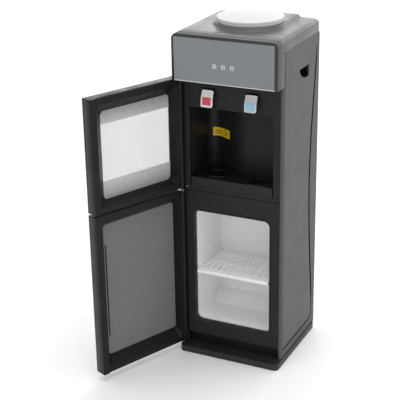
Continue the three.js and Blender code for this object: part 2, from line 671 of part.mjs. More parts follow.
function addWorks() {
  const floor = BASE.height + GAP;
  const compressor = turn([
    [0, floor], [30, floor], [30, floor + 12], [38, floor + 20],
    [38, floor + 92], [30, floor + 112], [0, floor + 118],
  ], 28).translate(40, 96, 0);
  add("compressor", compressor, "blackPlastic");

  const { x, y, radius, bottom, top } = HOT_TANK;
  add("hot_tank", turn([
    [0, bottom], [radius - 8, bottom + 3], [radius, bottom + 12],
    [radius, top - 12], [radius - 8, top - 3], [0, top],
  ], 28).translate(x, y, 0), "steel");
  const ring = radius + 0.5;
  add("heater_band", turn([
    [ring, bottom + 30], [ring + 4, bottom + 30], [ring + 4, bottom + 62],
    [ring, bottom + 62], [ring, bottom + 30],
  ], 28).translate(x, y, 0), "steel");

  const cold = COLD_TANK;
  add("cold_tank", turn([
    [0, cold.bottom], [cold.radius - 10, cold.bottom + 3], [cold.radius, cold.bottom + 14],
    [cold.radius, cold.top - 6], [cold.radius - 6, cold.top], [0, cold.top],
  ], 28).translate(cold.x, cold.y, 0), "steel");

  const hose = 5;
  const tapBack = FRONT + 71 + hose / 2;
  add("hot_hose", tube([
    [-TAP_X, tapBack - 1.8, 812], [-TAP_X - 4, tapBack + 22, 806], [-88, 30, 780], [-84, 70, 760],
    [x - 10, y, top + 12], [x - 6, y, top + 2],
  ], hose, 24, 6), "whitePlastic");
  add("cold_hose", tube([
    [TAP_X, tapBack - 1.8, 812], [TAP_X, tapBack + 16, 809], [58, -16, 802],
    [cold.x + 26, cold.y - cold.radius + 1, 800],
  ], hose, 10, 6), "whitePlastic");
}

// ---------------------------------------------------------------- refrigerated cabinet
function addCabinet() {
  const wall = 11;
  const { half, bottom, top, corner, depth } = CABINET;
  const y0 = FRONT + FRAME_DEPTH + GAP;
  const back = FRONT + depth;
  const shell = roundedRect(-half - wall, half + wall, bottom - wall, top + wall, 6);
  const outer = frontSlab(shell, y0, back + 9, 3);
  const inner = frontSlab(roundedRect(-half, half, bottom, top, corner), y0 - 1, back, 6);
  const hump = sideSlab(polygon([
    [back - 52, bottom - 3], [back + 2, bottom - 3], [back + 2, bottom + 34], [back - 14, bottom + 26],
  ]), -half - 2, half + 2);
  const railZ = SHELF.z - SHELF.thick;
  const rails = [];
  for (const side of [-1, 1]) {
    for (const [z0, z1] of [[railZ - 8, railZ - 1], [SHELF.z + 1, SHELF.z + 22]]) {
      const [x0, x1] = [side * (half - 4), side * (half + 3)].sort((a, b) => a - b);
      rails.push(box(x0, x1, y0 + 6, back + 2, z0, z1));
    }
  }
  add("fridge_liner", join(cut(outer, inner), hump, ...rails), "liner");

  const seal = roundedRect(-half - 8, half + 8, bottom - 8, top + 8, corner + 8);
  seal.holes.push(roundedRect(-half - 1, half + 1, bottom - 1, top + 1, corner + 1));
  add("cabinet_gasket", frontSlab(seal, FRONT - 6.5, FRONT - GAP, 4), "rubber");

  const shelfHalf = half - 1;
  const front = FRONT + 2;
  const slab = polygon([
    [-shelfHalf, front], [shelfHalf, front], [shelfHalf, SHELF.back], [-shelfHalf, SHELF.back],
  ]);
  const columns = 11;
  const pitch = 18.5;
  for (const [from, to] of [[0.14, 0.46], [0.56, 0.84]]) {
    for (let i = 0; i < columns; i += 1) {
      const x = (i - (columns - 1) / 2) * pitch;
      const run = SHELF.back - front;
      slab.holes.push(roundedRect(x - 4, x + 4, front + run * from, front + run * to, 3));
    }
  }
  const plate = raise(slab, SHELF.z - SHELF.thick, SHELF.z, 1);
  const rib = shelfHalf - 4;
  const under = box(-rib, rib, front + 4, SHELF.back - 4, SHELF.z - SHELF.thick - 1, SHELF.z - 4);
  add("fridge_shelf", cut(plate, under), "whitePlastic");
}

// ---------------------------------------------------------------- doors
// A door is drawn closed about its pin: x along it, y from the rim (0) to the outer face (-thick).
function doorGroup() {
  const group = new THREE.Group();
  group.position.set(PIVOT.x, PIVOT.y, 0);
  group.rotation.z = THREE.MathUtils.degToRad(-DOOR.angle);
  part.add(group);
  return group;
}

// The hollow's limits as (x0, x1, z0, z1), drawn in by inset.
function doorLimits({ bottom, top }, [x0, x1, above, below], inset = 0) {
  return [x0 + inset, x1 - inset, bottom + above + inset, top - below - inset];
}

function doorFrame(door, { mouth, window }) {
  const { bottom, top } = door;
  const y0 = -DOOR.thick + DOOR.skin + GAP;
  const tray = box(DOOR.left, DOOR.right, y0, 0, bottom, top);
  const knuckle = post(0, 0, bottom, top, DOOR.knuckle, 20);
  const hollow = taper(y0 - 1, doorLimits(door, window), 0.01, doorLimits(door, mouth));
  const pinHoles = [[bottom - 1, bottom + 14], [top - 14, top + 1]].map(([z0, z1]) =>
    post(0, 0, z0, z1, PIN_RADIUS + 0.5, 12));
  return cut(join(tray, knuckle), hollow, ...pinHoles);
}

function doorSkin({ bottom, top }) {
  const skin = roundedRect(DOOR.left, DOOR.right, bottom, top, 3);
  return frontSlab(skin, -DOOR.thick, -DOOR.thick + DOOR.skin, 3);
}

function addDoors() {
  const upper = doorGroup();
  add("upper_door_frame", doorFrame(UPPER_DOOR, UPPER_HOLLOW), "blackPlastic", upper);
  add("upper_door_glass", doorSkin(UPPER_DOOR), "clearGlass", upper);

  const lower = doorGroup();
  add("lower_door_frame", doorFrame(LOWER_DOOR, LOWER_HOLLOW), "blackPlastic", lower);
  add("lower_door_skin", doorSkin(LOWER_DOOR), "blackGloss", lower);
  const panel = roundedRect(...doorLimits(LOWER_DOOR, LOWER_HOLLOW.window, GAP), 5);
  const panelBack = -DOOR.thick + DOOR.skin + GAP;
  add("lower_door_panel", frontSlab(panel, panelBack, panelBack + 2, 3), "doorGrey", lower);
}

function hingeLeaf(z0, z1) {
  return box(PIVOT.x - 5, PIVOT.x + 9, PIVOT.y - 6, FRONT - GAP, z0, z1);
}

function addHinges() {
  const pin = (z0, z1) => post(PIVOT.x, PIVOT.y, z0, z1, PIN_RADIUS, 12);
  const middle = (UPPER_DOOR.bottom + LOWER_DOOR.top) / 2;
  const engage = 10;
  const reach = 2.5 + engage;
  add("middle_hinge", join(hingeLeaf(middle - 1, middle + 1), pin(middle - reach, middle + reach)), "steel");
  const head = HEAD.bottom - GAP;
  add("top_hinge", join(hingeLeaf(head - 2, head), pin(UPPER_DOOR.top - engage, head - 1)), "steel");
  add("bottom_hinge", pin(BASE.height + GAP, LOWER_DOOR.bottom + engage), "steel");
}

addBase();
addSides();
addFronts();
addNiche();
addFascia();
addTap("hot", "red", "whitePlastic");
addTap("cold", "blue", "whitePlastic");
addHead();
addTopCover();
addWell();
addBack();
addWorks();
addCabinet();
addDoors();
addHinges();

export default part;
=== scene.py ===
# A floor-standing water dispenser with its two doors open. Shapes are written in millimetres and
# scaled to metres when a mesh is made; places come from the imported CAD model.
import json
import math
import bmesh
import bpy
from mathutils import Matrix, Vector


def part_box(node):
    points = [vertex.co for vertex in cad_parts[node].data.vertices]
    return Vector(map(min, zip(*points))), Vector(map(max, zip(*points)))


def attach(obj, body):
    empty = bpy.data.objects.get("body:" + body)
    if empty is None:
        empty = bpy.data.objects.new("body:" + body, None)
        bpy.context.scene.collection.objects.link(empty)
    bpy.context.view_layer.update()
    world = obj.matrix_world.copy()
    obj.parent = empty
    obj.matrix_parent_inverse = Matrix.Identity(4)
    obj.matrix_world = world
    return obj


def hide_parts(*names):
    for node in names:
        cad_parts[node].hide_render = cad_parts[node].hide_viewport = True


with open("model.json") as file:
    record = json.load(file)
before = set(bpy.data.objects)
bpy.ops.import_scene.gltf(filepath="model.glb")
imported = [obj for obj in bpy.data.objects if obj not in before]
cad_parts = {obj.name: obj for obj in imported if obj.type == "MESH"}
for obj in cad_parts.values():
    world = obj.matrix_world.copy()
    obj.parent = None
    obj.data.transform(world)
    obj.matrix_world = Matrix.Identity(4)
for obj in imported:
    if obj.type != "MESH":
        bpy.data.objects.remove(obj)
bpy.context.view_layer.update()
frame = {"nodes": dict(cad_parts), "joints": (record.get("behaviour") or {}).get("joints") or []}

MM = 0.001


# ---------------------------------------------------------------- places read from the frame
def span(node, wanted="x0 x1 y0 y1 z0 z1"):
    """The wanted sides of a CAD node, in millimetres."""
    low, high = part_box(node)
    sides = {"x0": low[0], "x1": high[0], "y0": low[1], "y1": high[1], "z0": low[2], "z1": high[2]}
    return [sides[side] / MM for side in wanted.split()]


def edge_of(node, side):
    """One side of a CAD node, in millimetres."""
    return span(node, side)[0]


def joint_named(name):
    return next(joint for joint in frame["joints"] if joint["name"] == name)


HINGE = joint_named("upper_door_hinge")
DOOR_TO_WORLD = (
    Matrix.Translation(Vector(HINGE["pos_m"][:2] + [0.0]))
    @ Matrix.Rotation(math.radians(HINGE["range_deg"][0]), 4, "Z")
)


# ---------------------------------------------------------------- camera, light and floor
CAMERA = {"place": (1.2279, -2.8383, 1.7006), "azimuth": 26.0, "pitch": 21.9, "roll": -1.0, "lens": 102.5}
MIDDLE = (0.0, 0.0, 0.6)
LIGHTS = (  # name, place, target, size and power
    ("overhead", (0.3, -0.1, 3.4), MIDDLE, (2.6, 2.6), 36.0),
    ("right_side", (3.2, 0.5, 1.6), MIDDLE, (2.0, 2.4), 8.0),
    ("back_wall", (0.0, 6.0, 2.6), (0.0, 0.0, 1.4), (10.0, 4.0), 240.0),
)
WORLD_STRENGTH = 0.86
FLOOR_HALF = 16.0


def camera_axes():
    azimuth = math.radians(CAMERA["azimuth"])
    pitch = math.radians(CAMERA["pitch"])
    forward = Vector((
        -math.sin(azimuth) * math.cos(pitch),
        math.cos(azimuth) * math.cos(pitch),
        -math.sin(pitch),
    ))
    right = Vector((math.cos(azimuth), math.sin(azimuth), 0.0))
    up = right.cross(forward)
    roll = Matrix.Rotation(math.radians(-CAMERA["roll"]), 3, forward)
    return roll @ right, roll @ up, forward


def add_camera():
    right, up, forward = camera_axes()
    data = bpy.data.cameras.new("camera")
    data.lens = CAMERA["lens"]
    data.sensor_width = 36.0
    data.clip_end = 100.0
    camera = bpy.data.objects.new("camera", data)
    turn = Matrix((right, up, -forward)).transposed()
    camera.matrix_world = Matrix.Translation(Vector(CAMERA["place"])) @ turn.to_4x4()
    bpy.context.scene.collection.objects.link(camera)
    bpy.context.scene.camera = camera


def area_light(name, place, target, size, power):
    data = bpy.data.lights.new(name, "AREA")
    data.shape = "RECTANGLE"
    data.size, data.size_y = size
    data.energy = power
    light = bpy.data.objects.new(name, data)
    light.location = place
    aim = Vector(target) - Vector(place)
    light.rotation_euler = aim.to_track_quat("-Z", "Y").to_euler()
    bpy.context.scene.collection.objects.link(light)


def add_light():
    world = bpy.data.worlds.new("studio")
    world.use_nodes = True
    background = world.node_tree.nodes["Background"]
    background.inputs["Color"].default_value = (1.0, 1.0, 1.0, 1.0)
    background.inputs["Strength"].default_value = WORLD_STRENGTH
    bpy.context.scene.world = world
    bpy.context.scene.view_settings.view_transform = "Standard"
    for light in LIGHTS:
        area_light(*light)


def add_floor():
    mesh = bpy.data.meshes.new("floor")
    turns = ((-1, -1), (1, -1), (1, 1), (-1, 1))
    mesh.from_pydata([(x * FLOOR_HALF, y * FLOOR_HALF, 0) for x, y in turns], [], [(0, 1, 2, 3)])
    floor = bpy.data.objects.new("floor", mesh)
    bpy.context.scene.collection.objects.link(floor)
    floor.location.z = -0.0005
    mesh.materials.append(moulded("floor_paint", (0.94, 0.94, 0.94), 0.7, mottle=0.01, grain=(40, 0.0001)))


# ---------------------------------------------------------------- materials
class Nodes:
    """A material's node tree with short calls for the nodes used here."""

    def __init__(self, name):
        self.material = bpy.data.materials.new(name)
        self.material.use_nodes = True
        self.tree = self.material.node_tree
        self.shader = self.tree.nodes["Principled BSDF"]
        self.coords = self.tree.nodes.new("ShaderNodeTexCoord").outputs["Object"]

    def link(self, source, target):
        self.tree.links.new(source, target)

    def feed(self, socket, source):
        """Links a source to a socket of the shader."""
        self.link(source, self.shader.inputs[socket])

    def set(self, **values):
        for name, value in values.items():
            self.shader.inputs[name.replace("_", " ")].default_value = value

    def noise(self, scale, detail, stretch=(1.0, 1.0, 1.0)):
        mapping = self.tree.nodes.new("ShaderNodeMapping")
        mapping.inputs["Scale"].default_value = stretch
        texture = self.tree.nodes.new("ShaderNodeTexNoise")
        texture.inputs["Scale"].default_value = scale
        texture.inputs["Detail"].default_value = detail
        self.link(self.coords, mapping.inputs["Vector"])
        self.link(mapping.outputs["Vector"], texture.inputs["Vector"])
        return texture.outputs["Fac"]

    def drift(self, scale, detail, low=0.0, high=1.0):
        """Noise that wanders between low and high."""
        return self.between(self.noise(scale, detail), low, high)

    def between(self, factor, low, high, start=0.3, stop=0.7, shape="SMOOTHSTEP"):
        """Maps a factor from start..stop to low..high."""
        ramp = self.tree.nodes.new("ShaderNodeMapRange")
        ramp.interpolation_type = shape
        for name, value in {"From Min": start, "From Max": stop, "To Min": low, "To Max": high}.items():
            ramp.inputs[name].default_value = value
        self.link(factor, ramp.inputs["Value"])
        return ramp.outputs["Result"]

    def mix(self, factor, first, second):
        blend = self.tree.nodes.new("ShaderNodeMix")
        blend.data_type = "RGBA"
        self.link(factor, blend.inputs["Factor"])
        for socket, colour in ((blend.inputs["A"], first), (blend.inputs["B"], second)):
            if isinstance(colour, tuple):
                socket.default_value = (*colour, 1.0)
            else:
                self.link(colour, socket)
        return blend.outputs["Result"]

    def bump(self, height, distance):
        bump = self.tree.nodes.new("ShaderNodeBump")
        bump.inputs["Distance"].default_value = distance
        self.link(height, bump.inputs["Height"])
        self.feed("Normal", bump.outputs["Normal"])


def scaled(colour, factor):
    return tuple(min(1.0, channel * factor) for channel in colour)


def finished(nodes, colour, sheen, grain, depth, **values):
    """Feeds a material's colour, roughness and fine bumps, and sets its other values."""
    nodes.feed("Base Color", colour)
    nodes.feed("Roughness", sheen)
    nodes.bump(grain, depth)
    nodes.set(**values)
    return nodes.material


def moulded(name, colour, roughness, mottle=0.06, grain=(900, 0.00003), scuff=0.06, spec=0.5, coat=0.0):
    """Moulded plastic: a fine grain, a slightly uneven colour and a patchy sheen from handling."""
    nodes = Nodes(name)
    tone = nodes.mix(nodes.drift(7.0, 5.0), scaled(colour, 1 - mottle), scaled(colour, 1 + mottle))
    sheen = nodes.drift(23.0, 6.0, roughness - scuff, roughness + scuff)
    return finished(nodes, tone, sheen, nodes.noise(grain[0], 2.0), grain[1],
                    Specular_IOR_Level=spec, Coat_Weight=coat, Coat_Roughness=0.08)


def painted(name, colour, roughness):
    """Powder-coated sheet steel with a faint orange-peel surface."""
    nodes = Nodes(name)
    speckled = nodes.mix(nodes.drift(1400.0, 1.0), scaled(colour, 0.93), scaled(colour, 1.07))
    worn = nodes.mix(nodes.drift(4.0, 4.0, 0.0, 0.3), speckled, scaled(colour, 1.05))
    sheen = nodes.drift(15.0, 5.0, roughness - 0.02, roughness + 0.03)
    return finished(nodes, worn, sheen, nodes.noise(320.0, 2.0), 0.00005, Specular_IOR_Level=0.22)


def metal(name, colour, roughness, stretch=(1.0, 1.0, 1.0)):
    """Bare or plated metal with fine drawn lines along one direction."""
    nodes = Nodes(name)
    lines = nodes.noise(240.0, 4.0, stretch)
    tone = nodes.mix(nodes.between(lines, 0.0, 1.0), scaled(colour, 0.86), colour)
    sheen = nodes.between(lines, roughness - 0.07, roughness + 0.09)
    return finished(nodes, tone, sheen, lines, 0.00002, Metallic=1.0)


def rubber(name, colour):
    nodes = Nodes(name)
    tone = nodes.mix(nodes.drift(60.0, 6.0), scaled(colour, 0.8), scaled(colour, 1.4))
    sheen = nodes.drift(180.0, 4.0, 0.62, 0.85)
    return finished(nodes, tone, sheen, nodes.noise(700.0, 3.0), 0.00008, Specular_IOR_Level=0.3)


def tinted_glass(name, colour, shade):
    """Back-painted glass: a smooth gloss over a colour that drifts a little towards a second shade."""
    nodes = Nodes(name)
    tone = nodes.mix(nodes.drift(3.2, 2.0), colour, shade)
    return finished(nodes, tone, nodes.drift(40.0, 4.0, 0.04, 0.08), nodes.noise(9.0, 1.0), 0.00005,
                    Specular_IOR_Level=0.55, Coat_Weight=0.35, Coat_Roughness=0.05)


def clear_pane(name, alpha, colour):
    """Clear door glass with a trace of haze and fingerprints."""
    nodes = Nodes(name)
    smears = nodes.between(nodes.noise(14.0, 7.0, (1.0, 1.0, 0.4)), 0.0, 1.0, 0.45, 0.75)
    tone = nodes.mix(smears, colour, scaled(colour, 0.93))
    return finished(nodes, tone, nodes.drift(70.0, 5.0, 0.03, 0.12), nodes.noise(6.0, 1.0), 0.00003,
                    Alpha=alpha, Specular_IOR_Level=0.5)


def frosted_band(name, dark, light, from_z, to_z):
    """A printed dot screen on the window that fades from dark at from_z to light at to_z (metres)."""
    nodes = Nodes(name)
    split = nodes.tree.nodes.new("ShaderNodeSeparateXYZ")
    nodes.link(nodes.coords, split.inputs["Vector"])
    fade = nodes.between(split.outputs["Z"], 0.0, 1.0, from_z, to_z, "LINEAR")
    dots = nodes.tree.nodes.new("ShaderNodeTexVoronoi")
    dots.inputs["Scale"].default_value = 620.0
    dots.inputs["Randomness"].default_value = 0.0
    nodes.link(nodes.coords, dots.inputs["Vector"])
    spots = nodes.between(dots.outputs["Distance"], 0.0, 0.12, 0.2, 0.6)
    tone = nodes.mix(spots, nodes.mix(fade, dark, light), light)
    return finished(nodes, tone, nodes.drift(90.0, 3.0, 0.22, 0.34), dots.outputs["Distance"], 0.00002)


# Moulded plastics: colour, roughness, and how each differs from the usual finish.
PLASTICS = {
    "front_plastic": ((0.0105, 0.0107, 0.0113), 0.4, dict(spec=0.25, grain=(1100, 0.00002))),
    "niche_plastic": ((0.0125, 0.0128, 0.0135), 0.45,
                      dict(mottle=0.02, grain=(1100, 0.00001), scuff=0.02, spec=0.25)),
    "black_plastic": ((0.0100, 0.0102, 0.0108), 0.42, dict(spec=0.3)),
    "base_plastic": ((0.016, 0.0163, 0.017), 0.48, dict(spec=0.4)),
    "door_plastic": ((0.007, 0.0072, 0.0077), 0.42, dict(spec=0.2, grain=(1000, 0.00002))),
    # painted highlight: a lighter copy of the door plastic for the lit latch edge
    "door_edge_highlight": ((0.018, 0.0185, 0.02), 0.42, dict(spec=0.3)),
    "door_skin_gloss": ((0.011, 0.0115, 0.012), 0.12, dict(scuff=0.03, grain=(9, 0.00002), coat=0.5)),
    "door_grey": ((0.15, 0.15, 0.153), 0.55, dict(mottle=0.03)),
    "black_gloss": ((0.008, 0.0085, 0.009), 0.16, dict(scuff=0.04, grain=(300, 0.000005), coat=0.4)),
    "grey_plastic": ((0.088, 0.090, 0.093), 0.4, dict(mottle=0.03, spec=0.4, grain=(1000, 0.00002))),
    "liner_white": ((0.88, 0.88, 0.89), 0.5, dict(mottle=0.02, grain=(500, 0.00003))),
    "shelf_white": ((0.92, 0.92, 0.92), 0.45, dict(mottle=0.02)),
    "white_plastic": ((0.8, 0.8, 0.795), 0.42, dict(mottle=0.015, grain=(800, 0.00001))),
    # painted shade: the white plastic darkened so that the strongly lit lid does not wash out
    "lid_white_shaded": ((0.62, 0.62, 0.615), 0.6, dict(mottle=0.015, grain=(800, 0.00001), spec=0.1)),
    "cold_white": ((0.6, 0.61, 0.62), 0.34, dict(mottle=0.02, grain=(800, 0.00001))),
    "hot_red": ((0.62, 0.045, 0.085), 0.3, dict(coat=0.2)),
    "cold_blue": ((0.25, 0.52, 0.68), 0.3, dict(coat=0.2)),
    "rocker_green": ((0.03, 0.3, 0.1), 0.35, {}),
    "label_yellow": ((0.8, 0.52, 0.012), 0.5, dict(mottle=0.08, grain=(400, 0.00002))),
    "label_ink": ((0.14, 0.08, 0.02), 0.6, dict(mottle=0.2)),
    "hose_silicone": ((0.75, 0.76, 0.74), 0.3, dict(mottle=0.04)),
    "circuit_board": ((0.02, 0.13, 0.05), 0.4, dict(mottle=0.25)),
    # painted shade: near-black for the shade inside seam gaps and grooves
    "painted_seam_shade": ((0.004, 0.004, 0.0042), 0.85, dict(spec=0.0)),
    "icon_print": ((0.78, 0.8, 0.82), 0.3, dict(mottle=0.04)),
    # painted highlight: the pale chamfered edge of the control glass
    "glass_edge_highlight": ((0.62, 0.65, 0.68), 0.3, dict(mottle=0.05)),
}


# The other materials: the function that makes each and what it is told.
OTHERS = {
    "silver_paint": (painted, (0.078, 0.079, 0.0805), 0.5),
    "skirt_paint": (painted, (0.07, 0.071, 0.0725), 0.52),
    "back_steel": (painted, (0.03, 0.03, 0.032), 0.5),
    "coil_steel": (painted, (0.014, 0.014, 0.015), 0.32),
    "tank_steel": (metal, (0.62, 0.62, 0.63), 0.3, (1.0, 1.0, 0.05)),
    "hinge_steel": (metal, (0.72, 0.72, 0.72), 0.22, (0.2, 1.0, 1.0)),
    "copper_pipe": (metal, (0.72, 0.38, 0.22), 0.28),
    "rubber": (rubber, (0.018, 0.018, 0.019)),
    # painted shade: a near-black rubber for strips and sheets that stand in for shade
    "seal_dark": (rubber, (0.028, 0.028, 0.03)),
    "grey_glass": (tinted_glass, (0.185, 0.212, 0.228), (0.165, 0.19, 0.205)),
    "door_glass": (clear_pane, 0.3, (0.38, 0.39, 0.39)),
    "screen_low": (frosted_band, (0.3, 0.3, 0.3), (0.52, 0.52, 0.52), 0.545, 0.594),
    "screen_high": (frosted_band, (0.29, 0.29, 0.29), (0.5, 0.5, 0.5), 0.793, 0.757),
}


def make_materials():
    made = {name: moulded(name, colour, roughness, **more)
            for name, (colour, roughness, more) in PLASTICS.items()}
    made.update({name: make(name, *told) for name, (make, *told) in OTHERS.items()})
    return made


MATERIALS = make_materials()


# ---------------------------------------------------------------- mesh helpers
TINY = 1e-6


def place_point(plane, a, b, depth):
    """A point of an outline drawn across "x" (seen from the side), "y" (the front) or "z" (above)."""
    return {"x": (depth, a, b), "y": (a, depth, b), "z": (a, b, depth)}[plane]


def arc(cx, cy, radius, start, stop, steps):
    angles = [math.radians(start + (stop - start) * i / steps) for i in range(steps + 1)]
    return [(cx + radius * math.cos(t), cy + radius * math.sin(t)) for t in angles]


def circle(cx, cy, radius, count):
    """A full circle of count points."""
    return arc(cx, cy, radius, 0, 360 - 360 / count, count - 1)


def rounded(x0, x1, y0, y1, radius, steps=8):
    """A rectangle with rounded corners, anticlockwise. radius is one size or four: bl, br, tr, tl."""
    bl, br, tr, tl = [max(r, 0.01) for r in (radius if isinstance(radius, tuple) else (radius,) * 4)]
    return (
        arc(x0 + bl, y0 + bl, bl, 180, 270, steps) + arc(x1 - br, y0 + br, br, 270, 360, steps)
        + arc(x1 - tr, y1 - tr, tr, 0, 90, steps) + arc(x0 + tl, y1 - tl, tl, 90, 180, steps)
    )


def bezier(p0, p1, p2, p3, steps):
    points = []
    for i in range(steps + 1):
        t = i / steps
        weights = ((1 - t) ** 3, 3 * t * (1 - t) ** 2, 3 * t * t * (1 - t), t ** 3)
        points.append(tuple(sum(w * p[axis] for w, p in zip(weights, (p0, p1, p2, p3))) for axis in (0, 1)))
    return points


def at_depth(outline, y):
    return [(a, y, b) for a, b in outline]


def at_height(outline, z):
    return [(a, b, z) for a, b in outline]


def outlines(bm, loops):
    """Draws closed loops of points and fills the area between them."""
    edges = []
    for loop in loops:
        ring = [bm.verts.new(point) for point in loop]
        edges += [bm.edges.new((ring[i - 1], ring[i])) for i in range(len(ring))]
    bmesh.ops.triangle_fill(bm, edges=edges, use_beauty=True)


def plate(outline, low, high, plane, holes=()):
    """A flat plate with holes between two depths, as a bmesh in millimetres."""
    bm = bmesh.new()
    outlines(bm, [[place_point(plane, a, b, low) for a, b in loop] for loop in (outline, *holes)])
    top = bmesh.ops.extrude_face_region(bm, geom=bm.faces[:])["geom"]
    moved = [item for item in top if isinstance(item, bmesh.types.BMVert)]
    bmesh.ops.translate(bm, verts=moved, vec=place_point(plane, 0.0, 0.0, high - low))
    return bm


def plate_face(outline, z, holes):
    """A single flat face with holes."""
    bm = bmesh.new()
    outlines(bm, [at_height(loop, z) for loop in (outline, *holes)])
    return bm


def box_mesh(x0, x1, y0, y1, z0, z1):
    return plate([(x0, y0), (x1, y0), (x1, y1), (x0, y1)], z0, z1, "z")


def loft(loops, capped=True, ring=False):
    """A skin through loops of equally many points. ring joins the last loop back to the first."""
    bm = bmesh.new()
    rows = [[bm.verts.new(point) for point in loop] for loop in loops]
    pairs = list(zip(rows, rows[1:])) + ([(rows[-1], rows[0])] if ring else [])
    for lower, upper in pairs:
        count = len(lower)
        for i in range(count):
            j = (i + 1) % count
            bm.faces.new((lower[i], lower[j], upper[j], upper[i]))
    if capped and not ring:
        bm.faces.new(list(reversed(rows[0])))
        bm.faces.new(rows[-1])
    return bm


def strip(rows):
    """Faces between successive rows of points, each row being the same open line moved along."""
    bm = bmesh.new()
    lines = [[bm.verts.new(point) for point in row] for row in rows]
    for first, second in zip(lines, lines[1:]):
        for i in range(len(first) - 1):
            bm.faces.new((first[i], first[i + 1], second[i + 1], second[i]))
    return bm


def turned(profile, x, y, steps=72):
    """A piece turned about a vertical axis from (radius, height) points; end points on the axis close it."""
    bm = bmesh.new()
    angles = [2 * math.pi * i / steps for i in range(steps)]
    rows = []
    for radius, height in profile:
        if radius < TINY:
            rows.append([bm.verts.new((x, y, height))])
        else:
            ring = [(x + radius * math.cos(t), y + radius * math.sin(t), height) for t in angles]
            rows.append([bm.verts.new(point) for point in ring])
    closed = profile[0] == profile[-1] and profile[0][0] > TINY
    if closed:
        for vert in rows.pop():
            bm.verts.remove(vert)
        rows.append(rows[0])
    for lower, upper in zip(rows, rows[1:]):
        for i in range(steps):
            j = (i + 1) % steps
            corners = [row[k % len(row)] for row, k in ((lower, i), (lower, j), (upper, j), (upper, i))]
            unique = list(dict.fromkeys(corners))
            if len(unique) > 2:
                bm.faces.new(unique)
    return bm


def tubing(points, radius):
    """A round tube through a smooth line of points."""
    curve = bpy.data.curves.new("tubing", "CURVE")
    curve.dimensions = "3D"
    curve.bevel_depth = radius
    curve.bevel_resolution = 2
    curve.use_fill_caps = True
    curve.resolution_u = 10
    spline = curve.splines.new("NURBS")
    spline.points.add(len(points) - 1)
    spline.order_u = 3
    spline.use_endpoint_u = True
    for target, point in zip(spline.points, points):
        target.co = (*point, 1.0)
    holder = bpy.data.objects.new("tubing", curve)
    mesh = bpy.data.meshes.new_from_object(holder)
    bm = bmesh.new()
    bm.from_mesh(mesh)
    bpy.data.objects.remove(holder)
    bpy.data.curves.remove(curve)
    bpy.data.meshes.remove(mesh)
    return bm


def merged(*parts):
    """One bmesh holding several."""
    whole = bmesh.new()
    for part in parts:
        mesh = bpy.data.meshes.new("part")
        part.to_mesh(mesh)
        part.free()
        whole.from_mesh(mesh)
        bpy.data.meshes.remove(mesh)
    return whole


def bevelled(obj, width, segments):
    """Rounds the sharp edges of an object."""
    bevel = obj.modifiers.new("soft_edges", "BEVEL")
    bevel.width = width * MM
    bevel.segments = segments
    bevel.limit_method = "ANGLE"
    bevel.angle_limit = math.radians(30.0)
    bevel.harden_normals = True
    bevel.use_clamp_overlap = True


def piece(name, bm, body, material, nodes=(), bevel=0.0, slot=None, matrix=None, sharp=35.0):
    """Turns a bmesh in millimetres into a finished piece that rides on a body and stands for CAD nodes."""
    bmesh.ops.remove_doubles(bm, verts=bm.verts[:], dist=1e-4)
    bmesh.ops.recalc_face_normals(bm, faces=bm.faces[:])
    mesh = bpy.data.meshes.new(name)
    bm.to_mesh(mesh)
    bm.free()
    mesh.transform(Matrix.Scale(MM, 4))
    if matrix is not None:
        mesh.transform(matrix)
    mesh.polygons.foreach_set("use_smooth", [True] * len(mesh.polygons))
    mesh.materials.append(MATERIALS[material])
    obj = bpy.data.objects.new(name, mesh)
    bpy.context.scene.collection.objects.link(obj)
    if bevel:
        bevelled(obj, bevel, 3)
    else:
        mesh.set_sharp_from_angle(angle=math.radians(sharp))
    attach(obj, body)
    if nodes:
        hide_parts(*([nodes] if isinstance(nodes, str) else nodes))
    return obj


def fixed(name, bm, material, nodes=(), bevel=0.0, **more):
    """A piece that rides on the chassis."""
    return piece(name, bm, "chassis", material, nodes, bevel, **more)


def on_door(name, bm, body, material, nodes=(), bevel=0.0, **more):
    """A piece of an open door, drawn in the door's closed coordinates."""
    return piece(name, bm, body, material, nodes, bevel, matrix=DOOR_TO_WORLD, **more)


def keep(node, material, bevel):
    """Keeps a CAD node as it is, cleans its flat faces, rounds its edges a little and gives it a material."""
    obj = frame["nodes"][node]
    obj.data.materials.clear()
    obj.data.materials.append(MATERIALS[material])
    obj.data.polygons.foreach_set("use_smooth", [True] * len(obj.data.polygons))
    tidy = obj.modifiers.new("flat_faces", "DECIMATE")
    tidy.decimate_type = "DISSOLVE"
    tidy.angle_limit = math.radians(0.5)
    bevelled(obj, bevel, 2)


# ---------------------------------------------------------------- base, sides and fronts
FRONT = edge_of("lower_front_frame", "y0")
BACK = edge_of("base_tray", "y1")


def make_base():
    x0, x1, y0, y1, z0, z1 = span("base_tray")
    foot = 2.0  # dark line where the tray steps in above the floor
    step = 1.2
    outline = rounded(x0, x1, y0, y1, 14.0, 12)
    inset = rounded(x0 + step, x1 - step, y0 + step, y1 - step, 13.0, 12)
    fixed("base_foot_line", plate(inset, z0, z0 + foot, "z"), "rubber", slot="base_plastic")
    fixed("base_shell", plate(outline, z0 + foot, z1, "z"), "base_plastic", "base_tray", 1.6)
    for corner in ("front_left", "front_right", "rear_left", "rear_right"):
        keep(f"foot_pad_{corner}", "rubber", 0.4)


def make_sides():
    for side in ("left", "right"):
        keep(f"{side}_side_panel", "silver_paint", 0.6)
        keep(f"{side}_side_skirt", "skirt_paint", 0.6)
        keep(f"{side}_hand_grip", "black_plastic", 0.6)
        sign = 1 if side == "right" else -1
        make_corner_trim(side, sign)
        make_seam_backing(side, sign)
        make_skirt_groove(side, sign)


def quarter(inner, front, sign, radius, angles):
    """Points of the rounded vertical corner in plan, at angles in degrees from the front."""
    return [(inner + sign * radius * math.sin(t), front - radius * math.cos(t))
            for t in [math.radians(angle) for angle in angles]]


